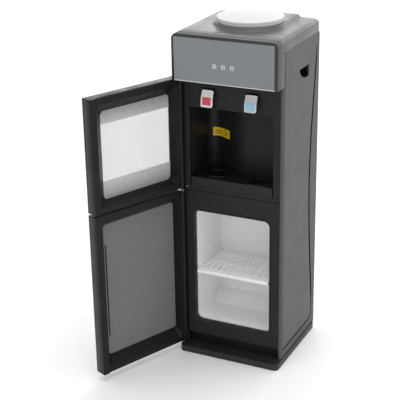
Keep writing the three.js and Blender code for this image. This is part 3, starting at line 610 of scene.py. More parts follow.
def make_corner_trim(side, sign):
    x0, x1, y0, y1, z0, z1 = span(f"{side}_corner_trim")
    outer, inner = (x1, x0) if sign > 0 else (x0, x1)
    radius = abs(outer - inner)
    wall = 3.0
    corner = quarter(inner, y0 + radius, sign, radius, range(0, 96, 6))
    hollow = quarter(inner, y0 + radius, sign, radius - wall, range(90, -6, -6))
    outline = corner + [(outer, y1), (outer - sign * wall, y1)] + hollow
    shell = plate(outline, z0, z1, "z")
    fixed(f"{side}_corner_trim_shell", shell, "silver_paint", f"{side}_corner_trim", 0.5)


def make_seam_backing(side, sign):
    """A dark strip behind the seams of the side, so that they read as shadow lines."""
    x0, x1, y0, z1 = span(f"{side}_side_panel", "x0 x1 y0 z1")
    outer = x1 if sign > 0 else x0
    low, high = sorted((outer - sign * 3.2, outer - sign * 2.3))
    grip_hole = rounded(-12, 66, 824, 870, 1)
    sheet = plate(rounded(y0 - 8, BACK - 6, 24, z1 - 2, 2), low, high, "x", [grip_hole])
    fixed(f"{side}_seam_backing", sheet, "seal_dark", slot="rubber")


def groove_path(side):
    """The rear and lower edges of a side panel, from the top down, as (y, z) points."""
    y0, z0, z1 = span(f"{side}_side_panel", "y0 z0 z1")
    corners = [vertex.co / MM for vertex in frame["nodes"][f"{side}_side_panel"].data.vertices]
    rear = {(round(corner.y, 2), round(corner.z, 2)) for corner in corners if corner.y > 80}
    lower = [point for point in rear if point[1] < z1 - 12]
    return sorted(lower, key=lambda point: -point[1]) + [(y0, z0)]


# Sizes of the dark strip painted as the groove's shade.
GROOVE = {"wide": 8.0, "narrow": 3.2, "turn_z": 120.0, "fade": 60.0}


def make_skirt_groove(side, sign):
    """A dark strip painted as the shade in the groove where the side panel meets its skirt; it starts thin
    and is narrow along the bottom.
    """
    x0, x1 = span(f"{side}_side_panel", "x0 x1")
    outer = x1 if sign > 0 else x0
    low, high = outer - sign * 1.4, outer + sign * 0.15
    line = groove_path(side)
    top = line[0][1]
    rows = []
    for i, here in enumerate(line):
        before, after = line[max(i - 1, 0)], line[min(i + 1, len(line) - 1)]
        along = Vector((after[0] - before[0], after[1] - before[1])).normalized()
        out = Vector((-along.y, along.x))
        taper = min(1.0, (top - here[1]) / GROOVE["fade"] + 0.15)
        width = taper * (GROOVE["wide"] if here[1] > GROOVE["turn_z"] else GROOVE["narrow"])
        near, far = Vector(here) - out * 1.2, Vector(here) + out * width
        rows.append([(low, *near), (high, *near), (high, *far), (low, *far)])
    fixed(f"{side}_skirt_groove_shadow", loft(rows), "painted_seam_shade", slot="rubber")


def make_fronts():
    make_lower_frame()
    make_upper_frame()
    make_kick_plate()


def make_lower_frame():
    x0, x1, y0, y1, z0, z1 = span("lower_front_frame")
    gx0, gx1, gy1, gz0, gz1 = span("cabinet_gasket", "x0 x1 y1 z0 z1")
    hole = rounded(gx0 + 4.0, gx1 - 4.0, gz0 + 4.0, gz1 - 5.0, 17.0, 12)
    frame_plate = plate(rounded(x0, x1, z0, z1, 2.5), y0, y1, "y", [hole])
    fixed("lower_front_frame_shell", frame_plate, "front_plastic", "lower_front_frame", 1.2)

    foot = plate(rounded(gx0, gx1, gz0, gz1, 22.0, 12), gy1 - 1.2, gy1, "y", [hole])
    outer, inner = [rounded(gx0 + inset, gx1 - inset, gz0 + inset, gz1 - inset, 22.0 - inset, 12)
                    for inset in (0.4, 3.4)]
    bead = plate(outer, gy1 - 2.2, gy1 - 1.0, "y", [inner])
    fixed("gasket_foot", foot, "rubber", "cabinet_gasket", 0.5)
    fixed("gasket_bead", bead, "rubber", bevel=0.5)


def make_upper_frame():
    x0, x1, y0, y1, z0, z1 = span("upper_front_frame")
    half = NICHE["half"]
    floor = NICHE["floor"]
    lower_edge = rounded(x0, x1, z0, z1, 2.0)[:18]
    u_shape = (
        lower_edge + [(x1, z1), (half, z1)]
        + arc(half - 3, floor + 3, 3, 0, -90, 4) + arc(-half + 3, floor + 3, 3, -90, -180, 4)
        + [(-half, z1), (x0, z1)]
    )
    shell = plate(u_shape, y0, y1, "y")
    fixed("upper_front_frame_shell", shell, "front_plastic", "upper_front_frame", 1.2)


def make_kick_plate():
    x0, x1, y0, y1, z0, z1 = span("kick_plate")
    panel = plate(rounded(x0, x1, z0, z1, 1.5, 3), y0, y1, "y")
    lefts = [x0 + 14 + 24 * i for i in range(12)]
    ribs = [box_mesh(left, left + 3, y0 - 1.2, y0 + 0.4, z0 + 4, z1 - 4) for left in lefts]
    fixed("kick_panel", merged(panel, *ribs), "black_plastic", "kick_plate", 0.4)


# ---------------------------------------------------------------- niche, tray and taps
NICHE = {
    "half": 126.5,
    "floor": edge_of("upper_front_frame", "z0") + 11.5,
    "deep": 130.0,
    "shallow": 88.0,
    "left": 28.0,
    "right": 14.0,
}


def niche_line(inset, front, steps=20):
    """The niche wall in plan, from the front left corner round the back to the front right one."""
    half = NICHE["half"] - 0.3 - inset
    deep = FRONT + NICHE["deep"] - inset
    shallow = FRONT + NICHE["shallow"] - inset
    left = NICHE["left"] - inset
    right = NICHE["right"] - inset
    start = (-half + left, deep)
    return (
        [(-half, front)] + arc(-half + left, deep - left, left, 180, 90, steps)
        + bezier(start, (-70, deep), (-38, shallow), (14, shallow), 2 * steps)[1:]
        + arc(half - right, shallow - right, right, 90, 0, steps) + [(half, front)]
    )


def make_niche():
    y0, z0, z1 = span("niche_liner", "y0 z0 z1")
    sheet = 3.0
    outside = niche_line(-1.2, y0)
    inside = niche_line(1.5, y0)
    spout_holes = [circle(x, tap_spout_y(), 11, 36) for x in TAP_XS]
    fixed("niche_wall", plate(outside + inside[::-1], z0, z1, "z"), "niche_plastic", "niche_liner")
    fixed("niche_floor", plate(outside, z0, z0 + sheet, "z"), "niche_plastic", bevel=0.4)
    fixed("niche_ceiling", plate(outside, z1 - sheet, z1, "z", spout_holes), "niche_plastic", bevel=0.4)


def middle_x(node):
    return sum(span(node, "x0 x1")) / 2


TAP_XS = (middle_x("hot_tap"), -middle_x("hot_tap"))


def tap_spout_y():
    return edge_of("hot_tap", "y0") + 14.0


def make_label():
    x0, x1, z0, z1 = span("niche_label", "x0 x1 z0 z1")
    x1 += 6.0  # the label wraps further along the curved wall
    line, back = [[(x, y) for x, y in niche_line(inset, FRONT, 30) if x0 <= x <= x1 and y > FRONT + 60]
                  for inset in (1.9, 1.6)]
    fixed("niche_label_film", plate(line + back[::-1], z0, z1, "z"), "label_yellow", "niche_label")
    mark_label(line, z0, z1)


def mark_label(line, z0, z1):
    """A plain chevron and two bars stand in for the label's print."""
    def mark(start, stop, low, high, lean):
        count = 6
        points = [line[round(start + (stop - start) * i / count)] for i in range(count + 1)]
        rows = [[(x, y - 0.15, low + lean * i / count), (x, y - 0.15, high + lean * i / count)]
                for i, (x, y) in enumerate(points)]
        return strip(rows)

    last = len(line) - 1
    middle = (z0 + z1) / 2
    bars = [mark(0.12 * last, 0.58 * last, z, z + 2.4, 0) for z in (middle - 5, middle + 2)]
    rising = mark(0.66 * last, 0.88 * last, z0 + 4, z0 + 7, middle - z0 - 5)
    falling = mark(0.66 * last, 0.88 * last, z1 - 7, z1 - 4, z0 - middle + 5)
    fixed("niche_label_print", merged(*bars, rising, falling), "label_ink", slot="label_yellow")


WELLS = {"left": (-70.0, -60.0, 34.0), "right": (66.0, -80.0, 31.0)}  # x, y and radius of the two drip zones


TRAY_INSET = 2.1  # from the niche line to the tray's rim


def make_tray():
    y0, z0, z1 = span("drip_tray", "y0 z0 z1")
    sheet = 3.0
    outer = niche_line(TRAY_INSET, y0)
    inner = niche_line(TRAY_INSET + sheet, y0 + sheet)
    rim = plate(outer, z0 + sheet, z1, "z", [inner])
    piece("drip_tray_shell", rim, "tray", "black_plastic", "drip_tray", 0.9)
    piece("drip_tray_floor", plate(outer, z0, z0 + sheet, "z"), "tray", "black_plastic", bevel=0.5)
    make_grille()


def make_grille():
    y0, z0, z1 = span("drip_grille", "y0 z0 z1")
    rings = [circle(x, y, radius, 48) for x, y, radius in WELLS.values()]
    deck = plate(niche_line(TRAY_INSET + 3.6, y0), z1 - 2.0, z1 + 0.8, "z", rings)
    piece("drip_grille_deck", deck, "tray", "black_plastic", "drip_grille", 0.8)
    for side, (x, y, radius) in WELLS.items():
        disc = slotted_disc(x, y, radius, z0 - 1.5, z0 + 1.0)
        piece(f"drip_grille_{side}_well", disc, "tray", "black_plastic", bevel=0.4)
        profile = [(radius, z1 - 5), (radius + 2.2, z1), (radius + 1.2, z1 + 1.5), (radius - 1.4, z1 + 1.2),
                   (radius - 2, z1 - 4), (radius, z1 - 5)]
        lip = turned(profile, x, y, 96)
        piece(f"drip_grille_{side}_lip", lip, "tray", "black_gloss", slot="black_plastic")


def slotted_disc(x, y, radius, z0, z1):
    pitch = 8.0
    half_width = 2.2
    reach = radius - 6.0
    slots = []
    for i in range(-3, 4):
        dx = i * pitch
        length = math.sqrt(max(reach ** 2 - dx ** 2, 40.0))
        slots.append(rounded(x + dx - half_width, x + dx + half_width, y - length, y + length, 2.1, 5))
    return plate(circle(x, y, radius - 0.4, 48), z0, z1, "z", slots)


def paddle_y(t):
    """Front-to-back place of the paddle's middle surface; t runs from 0 at its top to 1 at its bottom."""
    return FRONT - 7 - 6 * math.sin(t * math.pi) ** 2 - 13 * t ** 2.4


def ribbon(x, half, top, bottom, t0, t1, front, back, corner, steps=28):
    """A plate that follows the paddle's curve between t0 and t1, with rounded corners."""
    rows = []
    for i in range(steps + 1):
        t = t0 + (t1 - t0) * i / steps
        z = top + (bottom - top) * t
        to_end = min(t - t0, t1 - t) * (top - bottom)
        missing = max(corner - to_end, 0.0)
        width = half - (corner - math.sqrt(max(corner ** 2 - missing ** 2, 0.0)))
        near, far = paddle_y(t) + front, paddle_y(t) + back
        rows.append([(x - width, near, z), (x + width, near, z), (x + width, far, z), (x - width, far, z)])
    return loft(rows)


def make_tap(side, insert_material, paddle_material):
    x0, x1, y1, z0, z1 = span(f"{side}_paddle", "x0 x1 y1 z0 z1")
    x = (x0 + x1) / 2
    half = (x1 - x0) / 2
    body = f"{side}_lever"
    sheet = ribbon(x, half, z1, z0, 0.0, 1.0, -1.5, 1.5, 4.0)
    piece(f"{side}_paddle_plate", sheet, body, paddle_material, f"{side}_paddle", 0.7, slot="white_plastic")
    arm = box_mesh(x - 9, x + 9, FRONT - 9, y1, z1 - 14, z1 - 4)
    hub = plate(circle(FRONT + 6, z1 - 9, 5.5, 24), x - 12, x + 12, "x")
    piece(f"{side}_paddle_arm", merged(arm, hub), body, "black_plastic", bevel=0.8)

    bottom, top = span(f"{side}_paddle_insert", "z0 z1")
    start, stop = (z1 - top) / (z1 - z0), (z1 - bottom) / (z1 - z0)
    insert = ribbon(x, half * 0.74, z1, z0, start, stop, -2.0, -1.2, 1.5, 16)
    piece(f"{side}_paddle_window", insert, body, insert_material, f"{side}_paddle_insert", 0.3)
    keep(f"{side}_tap", "black_plastic", 1.2)


def make_fascia():
    x0, x1, y0, y1, z0, z1 = span("tap_fascia")
    px0, px1, pz0, pz1 = span("hot_paddle", "x0 x1 z0 z1")
    half = (px1 - px0) / 2 + 2
    holes = [rounded(x - half, x + half, pz0 - 4, pz1 + 3, 4.0, 6) for x in TAP_XS]
    shell = plate(rounded(x0, x1, z0, z1, 1.0, 3), y0, y1, "y", holes)
    fixed("tap_fascia_shell", shell, "front_plastic", "tap_fascia", 0.7)
    back = y1 + 9.0
    arm_holes = [rounded(x - 12, x + 12, pz1 - 26, pz1 - 1, 2, 4) for x in TAP_XS]
    screen = plate(rounded(x0 + 4, x1 - 4, z0 + 4, z1, 1, 2), back, back + 1, "y", arm_holes)
    fixed("tap_shadow_screen", screen, "seal_dark", slot="black_plastic")


# ---------------------------------------------------------------- head
def head_outline(inset, corner, raised=0.0):
    x0, x1, z0, z1 = span("head_bezel", "x0 x1 z0 z1")
    return rounded(x0 + inset, x1 - inset, z0 + inset + raised, z1 - inset, (2.0, 2.0, corner, corner), 12)


HEAD_SETBACK = 6.5  # from the bezel's face back to the shell


def make_head():
    y0, y1 = span("head_bezel", "y0 y1")
    step = y0 + HEAD_SETBACK
    shell = [
        at_depth(head_outline(3.0, 15.0), y1),
        at_depth(head_outline(0.0, 18.0), y1),
        at_depth(head_outline(0.0, 18.0), step + 0.6),
        at_depth(head_outline(0.6, 17.4), step),
        at_depth(head_outline(5.0, 13.0), step),
    ]
    fixed("head_shell", loft(shell, ring=True), "grey_plastic", "head_bezel", sharp=50)
    make_bezel()
    make_glass()
    # A dark band painted along the seam between the head and the top cover, as the shade in that gap.
    seam = [at_depth(head_outline(inset, 18.0 - inset), y) for inset, y in
            ((-0.15, y1 - 0.4), (-0.15, y1 + 0.8), (4.0, y1 + 0.8), (4.0, y1 - 0.4))]
    fixed("head_seam_shadow", loft(seam, ring=True), "painted_seam_shade", slot="grey_plastic")
    make_icons(edge_of("control_glass", "y0"))
    make_board()


def make_bezel():
    front, bottom = span("head_bezel", "y0 z0")
    x0, x1, y1, z0, z1 = span("bezel_frame", "x0 x1 y1 z0 z1")
    gx0, gx1, gy1, gz1 = span("control_glass", "x0 x1 y1 z1")
    backing = plate(rounded(x0, x1, z0, z1, (1.5, 1.5, 14.0, 14.0), 12), gy1 + 0.2, y1, "y")
    window = rounded(gx0 - 0.3, gx1 + 0.3, bottom + 1.0, gz1 + 0.3, 1.0, 12)
    rounding = ((0.4, HEAD_SETBACK), (0.4, 4.0), (0.9, 2.4), (1.9, 1.1), (3.4, 0.3), (5.2, 0.0))
    border = [at_depth(head_outline(inset, 18.0 - inset, -inset), front + back) for inset, back in rounding]
    border += [at_depth(window, front), at_depth(window, front + HEAD_SETBACK)]
    fixed("bezel_backing", backing, "black_gloss", "bezel_frame", 0.5)
    fixed("bezel_border", loft(border, ring=True), "black_gloss", sharp=50)


def make_glass():
    x0, x1, y0, y1, z0, z1 = span("control_glass")
    glass = plate(rounded(x0, x1, z0 + 3.2, z1, 1.2, 4), y0, y1, "y")
    fixed("control_glass_pane", glass, "grey_glass", "control_glass", 0.5)
    # The chamfer along the glass's lower edge is pale: a painted highlight where the edge catches the light.
    chamfer = loft([
        [(x0, front, z), (x1, front, z), (x1, y1, z), (x0, y1, z)]
        for front, z in ((y0 + 0.1, z0 + 3.3), (y0 + 1.6, z0))
    ])
    fixed("control_glass_edge", chamfer, "glass_edge_highlight", slot="grey_glass", bevel=0.2)


def make_icons(y):
    """Three generic touch icons: rounded outlines round a ring, a dot and a bar."""
    z = 897.0
    front, back = y - 0.15, y + 0.05
    for x, glyph in ((-26.0, "ring"), (0.0, "dot"), (26.0, "bar")):
        outline, inner = [rounded(x - half, x + half, z - half, z + half, radius, steps)
                          for half, radius, steps in ((5.5, 2.2, 5), (4.0, 1.2, 4))]
        marks = {
            "ring": (circle(x, z, 2.3, 18), [circle(x, z, 1.2, 18)]),
            "dot": (circle(x, z, 1.6, 18), []),
            "bar": (rounded(x - 2.4, x + 2.4, z - 0.8, z + 0.8, 0.6, 3), []),
        }
        mark, hole = marks[glyph]
        parts = merged(plate(outline, front, back, "y", [inner]), plate(mark, front, back, "y", hole))
        fixed(f"icon_{glyph}", parts, "icon_print", slot="grey_glass")


def make_board():
    x0, x1, y0, y1, z0, z1 = span("control_board")
    holes = [circle(x, z, 1.8, 12) for x in (x0 + 5, x1 - 5) for z in (z0 + 5, z1 - 5)]
    sheet = plate(rounded(x0, x1, z0, z1, 2, 4), y0, y1, "y", holes)
    fixed("control_board_sheet", sheet, "circuit_board", "control_board", 0.15)
    places = ((-40, 890, 14, 14), (-10, 884, 20, 10), (24, 896, 10, 16), (40, 880, 12, 8))
    chips = [box_mesh(x, x + width, y1, y1 + 2.2, z, z + height) for x, z, width, height in places]
    fixed("control_board_chips", merged(*chips), "black_plastic", bevel=0.3, slot="circuit_board")


# ---------------------------------------------------------------- top cover and bottle seat
def deck_line(offset):
    """The raised deck's outline in plan: a half circle in front and a straight-sided rear."""
    x, y, radius = 0.0, seat_y(), 103.0 + offset
    rear = BACK - 8 + min(offset, 0.0)
    soft = 12.0 + offset * 0.6
    return (
        arc(x, y, radius, 180, 360, 32)
        + arc(radius - soft, rear - soft, soft, 0, 90, 8) + arc(-radius + soft, rear - soft, soft, 90, 180, 8)
    )


def seat_y():
    return sum(span("lid", "y0 y1")) / 2


def cover_line(inset, corner):
    x0, x1, y0, y1 = span("top_cover", "x0 x1 y0 y1")
    return rounded(x0 + inset, x1 - inset, y0, y1 - inset, (0.5, 0.5, corner, corner), 12)


DECK_RISE = 9.0  # of the raised deck above the cover's flat top


def make_cover():
    z0, z1 = span("top_cover", "z0 z1")
    top = z1 - DECK_RISE
    round_off = 12.0
    skirt = [at_height(cover_line(inset, corner), z) for inset, corner, z in
             ((2.5, 8.0, z0), (0.6, 10.0, z0), (0.0, 10.0, z0 + 0.8))]
    for i in range(13):
        angle = math.radians(90 * i / 12)
        inset = round_off * (1 - math.cos(angle))
        z = top - round_off + round_off * math.sin(angle)
        skirt.append(at_height(cover_line(inset, 10.0 + 4 * i / 12), z))
    flat = plate_face(cover_line(round_off, 14.0), top, [deck_line(5.0)])
    fixed("top_cover_shell", merged(loft(skirt, capped=False), flat), "grey_plastic", "top_cover", sharp=30)
    make_deck(z1)


def make_deck(top):
    wall_profile = ((5.0, 0.0), (3.0, 0.3), (1.2, 0.9), (0.0, 1.9), (-1.0, 3.3), (-3.0, 6.2), (-4.6, 8.2),
                    (-5.4, 8.8), (-6.0, 9.0))
    foot = top - DECK_RISE
    wall = loft([at_height(deck_line(offset), foot + lift) for offset, lift in wall_profile], capped=False)
    hole = full_circle(72.0)
    roof = plate_face(deck_line(-6.0), top, [hole])
    lining = loft([at_height(hole, top), at_height(hole, top - 9)], capped=False)
    fixed("top_deck", merged(wall, roof, lining), "grey_plastic", sharp=30)


def full_circle(radius):
    """A circle in plan round the bottle's axis."""
    return circle(0.0, seat_y(), radius, 72)


def make_lid():
    x0, x1, z0, z1 = span("lid", "x0 x1 z0 z1")
    radius = (x1 - x0) / 2
    lip = 12.5
    profile = [(0, z0 + 9), (radius - 10, z0 + 7), (radius - 5, z0 + 0.2), (radius - 1.6, z0),
               (radius - 0.4, z0 + 0.8), (radius, z0 + 2.4), (radius, z0 + lip - 1.5)]
    profile += arc(radius - 2.4, z0 + lip - 1.5, 2.4, 0, 90, 6)[1:]
    crown = z1 - 0.2
    inner = radius - 6.0
    base = z0 + lip + 0.9
    for i in range(1, 25):
        t = i / 24
        profile.append((inner * (1 - t), base + (crown - base) * math.sin(t * math.pi / 2) ** 0.9))
    cap = turned(profile, 0.0, seat_y(), 128)
    # The cap uses a darkened copy of the white plastic, painted shade against the strong light on it.
    piece("lid_cap", cap, "bottle_lid", "lid_white_shaded", "lid", sharp=40, slot="white_plastic")
    rib = plate(full_circle(76.0), z0 + 1.5, z0 + 7.5, "z", [full_circle(73.6)])
    piece("lid_rib", rib, "bottle_lid", "white_plastic", bevel=0.4)


def make_seat():
    """The white funnel under the lid: a flat rim, a rounded throat, then a cone down to the probe."""
    x0, x1, z1 = span("bottle_seat", "x0 x1 z1")
    r = (x1 - x0) / 2 - 8.0
    base = z1 - 3.0
    profile = [(r - 2, base), (r + 7.2, base), (r + 8, base + 0.8), (r + 8, base + 2.2), (r + 7, base + 3),
               (r - 3, base + 3), (r - 5, base + 2.2)]
    profile += [(r - 5 - 9 * t ** 1.3, base + 2.2 - 24 * t) for t in [i / 6 for i in range(1, 7)]]
    profile += [(r - 14 - (r - 34) * t, base - 22 - 28 * t ** 0.85) for t in [i / 8 for i in range(1, 9)]]
    profile += [(20, base - 58), (24, base - 58), (24, base - 53), (r - 10, base - 26), (r - 2, base - 4)]
    profile.append(profile[0])
    fixed("bottle_funnel", turned(profile, 0.0, seat_y(), 96), "white_plastic", "bottle_seat", sharp=40)

    z0, z1 = span("bottle_probe", "z0 z1")
    tip = [(0, z0), (9, z0), (9, 960), (8.6, 962), (8.6, 970), (7.8, 974), (6.2, 979),
           (3.4, z1 - 1.2), (0, z1)]
    fixed("bottle_probe_body", turned(tip, 0.0, seat_y(), 48), "white_plastic", "bottle_probe", sharp=40)
    # A dark patch on the probe paints the shade inside its water port.
    port = box_mesh(-1.6, 1.6, seat_y() - 9.4, seat_y() - 8.4, 963, 971)
    fixed("bottle_probe_port", port, "seal_dark", bevel=0.2, slot="white_plastic")


# ---------------------------------------------------------------- refrigerated cabinet
def make_liner():
    keep("fridge_liner", "liner_white", 0.8)
    x0, x1, y1, z0, z1 = span("fridge_liner", "x0 x1 y1 z0 z1")
    wall = 2.0
    left, right, rear = x0 + wall, x1 - wall, y1 - wall
    shelf_front, shelf_bottom = span("fridge_shelf", "y0 z0")
    rail = rounded(shelf_front + 4, rear, shelf_bottom - 7.5, shelf_bottom - 4.0, 1.2, 3)
    rails = [plate(rail, low, low + 5.0, "x") for low in (left, right - 5.0)]
    fixed("liner_rails", merged(*rails), "liner_white", bevel=0.6)
    ribs = [plate(rounded(x, x + 3, z0 + 30, z1 - 26, 1.4, 4), rear - 0.8, rear + 0.5, "y")
            for x in [left + 24 + 22 * i for i in range(9)]]
    fixed("liner_back_ribs", merged(*ribs), "liner_white", bevel=0.35)
    housing = plate(rounded(30, 82, z1 - 46, z1 - 14, 4.0, 6), rear - 16, rear + 0.5, "y")
    knob = turned_y(56, z1 - 30, [(0, -24.0), (8.5, -24.0), (9.5, -23.0), (10.0, -16.0), (0, -16.0)], rear)
    fixed("thermostat_housing", housing, "liner_white", bevel=2.0)
    fixed("thermostat_knob", knob, "grey_plastic", bevel=0.3, slot="liner_white")


def turned_y(x, z, profile, y):
    """A turned piece whose axis points along y; profile is (radius, distance behind y)."""
    bm = turned(profile, 0.0, 0.0, 40)
    bm.transform(Matrix.Translation(Vector((x, y, z))) @ Matrix.Rotation(math.radians(-90), 4, "X"))
    return bm


def make_shelf():
    x0, x1, y0, y1, z0, z1 = span("fridge_shelf")
    pitch = 18.5
    deep = y1 - y0
    slots = [rounded(i * pitch - 4, i * pitch + 4, y0 + start * deep, y0 + stop * deep, 3.2, 5)
             for start, stop in ((0.14, 0.46), (0.56, 0.84)) for i in range(-5, 6)]
    deck = plate(rounded(x0, x1, y0 + 1, y1, 3.0, 5), z1 - 3.0, z1, "z", slots)
    lip = plate(rounded(x0, x1, z0, z1 + 1.0, 2.0, 5), y0, y0 + 3.0, "y")
    runner = rounded(y0 + 2, y1 - 2, z0, z1 - 2.5, 1.0, 3)
    runners = merged(*[plate(runner, low, low + 2.4, "x") for low in (x0, x1 - 2.4)])
    piece("shelf_deck", deck, "cabinet_shelf", "shelf_white", "fridge_shelf", 0.7)
    piece("shelf_lip", lip, "cabinet_shelf", "shelf_white", bevel=1.0)
    piece("shelf_runners", runners, "cabinet_shelf", "shelf_white", bevel=0.5)


# ---------------------------------------------------------------- doors, in closed coordinates
# u runs from the pin to the latch side, v from the outer skin to the inner rim, both measured from the pin.
LATCH_LIFT = 2.2
MOUTH_SIDES = (8.0, 287.0)  # u of the opening in a door's rim


def door_box(node, wanted="u0 u1 v0 v1 z0 z1"):
    """The wanted sides of a door node in the door's closed coordinates."""
    to_door = DOOR_TO_WORLD.inverted()
    points = [to_door @ vertex.co / MM for vertex in frame["nodes"][node].data.vertices]
    sides = {}
    for axis, letter in enumerate("uvz"):
        values = [point[axis] for point in points]
        sides[f"{letter}0"], sides[f"{letter}1"] = min(values), max(values)
    return [sides[side] for side in wanted.split()]


def door_loop(sides, radius, v, inset=0.0):
    u0, u1, z0, z1 = sides
    return at_depth(rounded(u0 + inset, u1 - inset, z0 + inset, z1 - inset, radius, 8), v)


def door_frame(node, mouth, window, window_radius, skin):
    """A moulded door tray: outer walls, a flat rim, and slopes that run down to the opening at the skin."""
    u0, u1, v0, z0, z1 = door_box(node, "u0 u1 v0 z0 z1")
    edge = (max(u0, 0.0), u1, z0, z1)
    rim = -LATCH_LIFT
    loops = [door_loop(*told) for told in (
        (edge, 2.0, v0, 1.0),
        (edge, 3.0, v0 + 1.0),
        (edge, 3.0, rim - 1.8),
        (edge, 2.6, rim - 0.5, 0.5),
        (edge, 2.0, rim, 1.8),
        (mouth, 16.0, rim, -1.6),
        (mouth, 15.0, rim - 0.5, -0.5),
        (mouth, 14.5, rim - 1.8, 0.2),
        (window, window_radius + 1.0, skin + 1.6, -0.6),
        (window, window_radius, skin),
        (window, window_radius, v0),
    )]
    body = node.removesuffix("_frame")
    on_door(f"{body}_tray", loft(loops, ring=True), body, "door_plastic", node, sharp=50)
    stile = plate(rounded(mouth[1] - 1.0, u1, z0, z1, 2.0, 5), rim - 3.0, rim + LATCH_LIFT, "y")
    on_door(f"{body}_latch_stile", stile, body, "door_plastic", bevel=1.6)
    knuckle = plate(circle(0.0, 0.0, 7.0, 36), z0, z1, "z")
    on_door(f"{body}_knuckle", knuckle, body, "door_plastic", bevel=0.8)
    # A lighter copy of the door plastic along the latch edge paints the light that edge catches.
    band = plate(rounded(u1 - 0.6, u1 + 0.15, v0 + 2.5, rim - 4.0, 0.2, 2), z0 + 1.5, z1 - 1.5, "z")
    on_door(f"{body}_edge_band", band, body, "door_edge_highlight", slot="door_plastic")


def make_upper_door():
    z0, z1 = door_box("upper_door_frame", "z0 z1")
    gu0, gu1, gv0, gv1, gz0, gz1 = door_box("upper_door_glass")
    window = (17.0, 255.0, z0 + 27.0, z1 - 48.0)
    door_frame("upper_door_frame", (*MOUTH_SIDES, z0 + 20.0, z1 - 20.0), window, 14.0, gv1)
    hole = rounded(*window, 14.0, 8)
    border = plate(rounded(gu0, gu1, gz0, gz1, 2.0, 5), gv0, gv1 - 0.6, "y", [hole])
    on_door("upper_door_border", border, "upper_door", "black_gloss", "upper_door_glass", 0.6,
            slot="door_glass")
    clear = (window[0] + 0.4, window[1] - 0.4, window[2] + 0.4, window[3] - 0.4)
    pane = plate(rounded(*clear, 13.6, 8), gv0 + 1.0, gv1 - 1.2, "y")
    on_door("upper_door_pane", pane, "upper_door", "door_glass")
    make_screens(clear, gv1 - 1.1)


SCREEN_LOW_HEIGHT = 52.0
SCREEN_HIGH_HEIGHT = 37.0


def make_screens(clear, v):
    """Printed bands that fade out towards the middle of the window."""
    u0, u1, z0, z1 = clear
    low = rounded(u0, u1, z0, z0 + SCREEN_LOW_HEIGHT, (13.6, 13.6, 0.0, 0.0), 8)
    high = rounded(u0, u1, z1 - SCREEN_HIGH_HEIGHT, z1, (0.0, 0.0, 13.6, 13.6), 8)
    for name, outline in (("screen_low", low), ("screen_high", high)):
        on_door(f"upper_door_{name}", plate(outline, v, v + 0.5, "y"), "upper_door", name, slot="door_glass")


def make_lower_door():
    z0, z1 = door_box("lower_door_frame", "z0 z1")
    su0, su1, sv0, sv1, sz0, sz1 = door_box("lower_door_skin")
    panel_low, panel_high = door_box("lower_door_panel", "v0 v1")
    window = (14.0, 266.0, z0 + 42.0, z1 - 40.0)
    door_frame("lower_door_frame", (*MOUTH_SIDES, z0 + 15.0, z1 - 20.0), window, 10.0, panel_high)
    skin = plate(rounded(su0, su1, sz0, sz1, 2.5, 5), sv0, sv1, "y")
    on_door("lower_door_outer_skin", skin, "lower_door", "door_skin_gloss", "lower_door_skin", 0.8)
    panel = plate(rounded(*window, 10.0, 8), panel_low, panel_high - 0.3, "y")
    on_door("lower_door_inner_panel", panel, "lower_door", "door_grey", "lower_door_panel", 0.3)
    outline = rounded(window[1] - 8.0, window[1] - 4.0, window[2] + 60, window[3] - 60, 1.8, 5)
    strip_bm = plate(outline, panel_high - 0.5, panel_high + 0.5, "y")
    on_door("lower_door_pull_strip", strip_bm, "lower_door", "door_plastic", bevel=0.3)


# ---------------------------------------------------------------- hinges
def make_hinges():
    for name in ("middle_hinge", "top_hinge", "bottom_hinge"):
        keep(name, "hinge_steel", 0.5)
    pin_x, pin_y = HINGE["pos_m"][0] / MM, HINGE["pos_m"][1] / MM
    top = edge_of("middle_hinge", "z1")
    head = [(0, top), (3.4, top), (3.4, top + 0.9), (2.2, top + 1.6), (0, top + 1.6)]
    fixed("middle_hinge_screw", turned(head, pin_x + 14.0, pin_y + 5.0, 24), "hinge_steel")


# ---------------------------------------------------------------- back and works
def screw_heads(places, y):
    heads = []
    for x, z in places:
        heads.append(plate(circle(x, z, 3.0, 24), y - 0.5, y + 1.0, "y"))
        heads.append(plate(rounded(x - 2.0, x + 2.0, z - 0.4, z + 0.4, 0.3, 2), y + 0.9, y + 1.05, "y"))
    return merged(*heads)


def make_back():
    x0, x1, y1, z0, z1 = span("back_panel", "x0 x1 y1 z0 z1")
    places = [(x, z) for x in (x0 + 9, x1 - 9) for z in (z0 + 10, z0 + 250, z0 + 500, z1 - 130)]
    places += [(x, z1 - 12) for x in (-60, 60)]
    fixed("back_panel_screws", screw_heads(places, y1), "hinge_steel", slot="back_steel")
    beads = [plate(rounded(x - 4, x + 4, 640, 800, 3.8, 6), y1 - 0.3, y1 + 1.0, "y")
             for x in (-70, -35, 0, 35)]
    fixed("back_panel_beads", merged(*beads), "back_steel", bevel=0.8)
    for node, material, bevel in (
        ("back_panel", "back_steel", 0.3), ("power_inlet", "black_plastic", 0.6),
        ("switch_housing", "black_plastic", 0.6), ("heating_rocker", "hot_red", 0.4),
        ("cooling_rocker", "rocker_green", 0.4), ("drain_outlet", "white_plastic", 0.5),
        ("drain_cap", "white_plastic", 0.5),
    ):
        keep(node, material, bevel)


def make_coil():
    """The condenser's folded tube as it is, with thin wires across it."""
    x0, x1, y1, z0, z1 = span("condenser_coil", "x0 x1 y1 z0 z1")
    keep("condenser_coil", "coil_steel", 0.3)
    count = 24
    places = [x0 + 14 + (x1 - x0 - 28) * i / (count - 1) for i in range(count)]
    wires = [plate(circle(x, y1 - 0.6, 0.7, 6), z0 + 1, z1 - 1, "z") for x in places]
    fixed("condenser_wires", merged(*wires), "coil_steel")


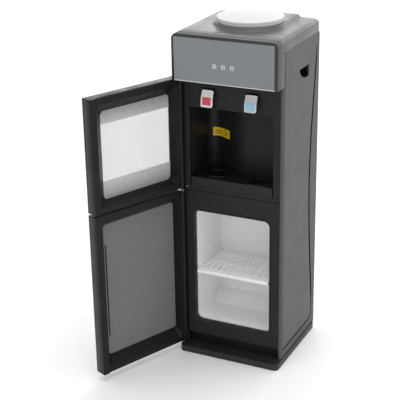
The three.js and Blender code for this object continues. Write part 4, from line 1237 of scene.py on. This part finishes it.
def make_works():
    for side in ("hot", "cold"):
        keep(f"{side}_tank", "tank_steel", 1.0)
        keep(f"{side}_hose", "hose_silicone", 0.4)
        x0, x1, y0, y1, z0, z1 = span(f"{side}_tank")
        radius = (x1 - x0) / 2
        outer, inner = [circle((x0 + x1) / 2, (y0 + y1) / 2, radius + more, 72) for more in (1.0, -1.0)]
        seams = [plate(outer, z, z + 3, "z", [inner]) for z in (z0 + 14, z1 - 17)]
        fixed(f"{side}_tank_seams", merged(*seams), "tank_steel", bevel=0.9)
    keep("heater_band", "hinge_steel", 0.4)
    make_compressor()


def make_compressor():
    x0, x1, y0, y1, z0, z1 = span("compressor")
    cx, cy = (x0 + x1) / 2, (y0 + y1) / 2
    r = min(x1 - x0, y1 - y0) / 2
    height = z1 - z0
    profile = [(0, z0), (r * 0.8, z0), (r * 0.95, z0 + 6), (r - 2, z0 + 14)]
    seam = ((2, 0.52), (0, 0.53), (0, 0.57), (2, 0.58))
    profile += [(r - inset, z0 + height * part) for inset, part in seam]
    profile.append((r - 2, z1 - 26))
    dome = [math.radians(10 * i) for i in range(1, 9)]
    profile += [((r - 2) * math.cos(t), z1 - 26 + 26 * math.sin(t)) for t in dome]
    profile.append((0, z1))
    fixed("compressor_shell", turned(profile, cx, cy), "coil_steel", "compressor", sharp=50)
    pipe = tubing([(cx - r + 12, cy, z1 - 30), (cx - r - 8, cy, z1 - 20), (cx - r - 16, cy, z1 + 10),
                   (cx - r - 16, cy + 6, z1 + 70), (cx - r - 16, cy + 14, z1 + 104)], 3.0)
    fixed("compressor_pipe", pipe, "copper_pipe", slot="coil_steel")
    box = plate(rounded(cy - 16, cy + 16, z0 + 34, z0 + 74, 3.0, 5), cx + r - 5, cx + r + 16, "x")
    fixed("compressor_terminal_box", box, "black_plastic", bevel=1.5)


# ---------------------------------------------------------------- putting it together
make_base()
make_sides()
make_fronts()
make_niche()
make_label()
make_tray()
make_fascia()
make_tap("hot", "hot_red", "white_plastic")
make_tap("cold", "cold_blue", "cold_white")
make_head()
make_cover()
make_lid()
make_seat()
make_liner()
make_shelf()
make_upper_door()
make_lower_door()
make_hinges()
make_back()
make_coil()
make_works()

add_floor()
add_light()
add_camera()
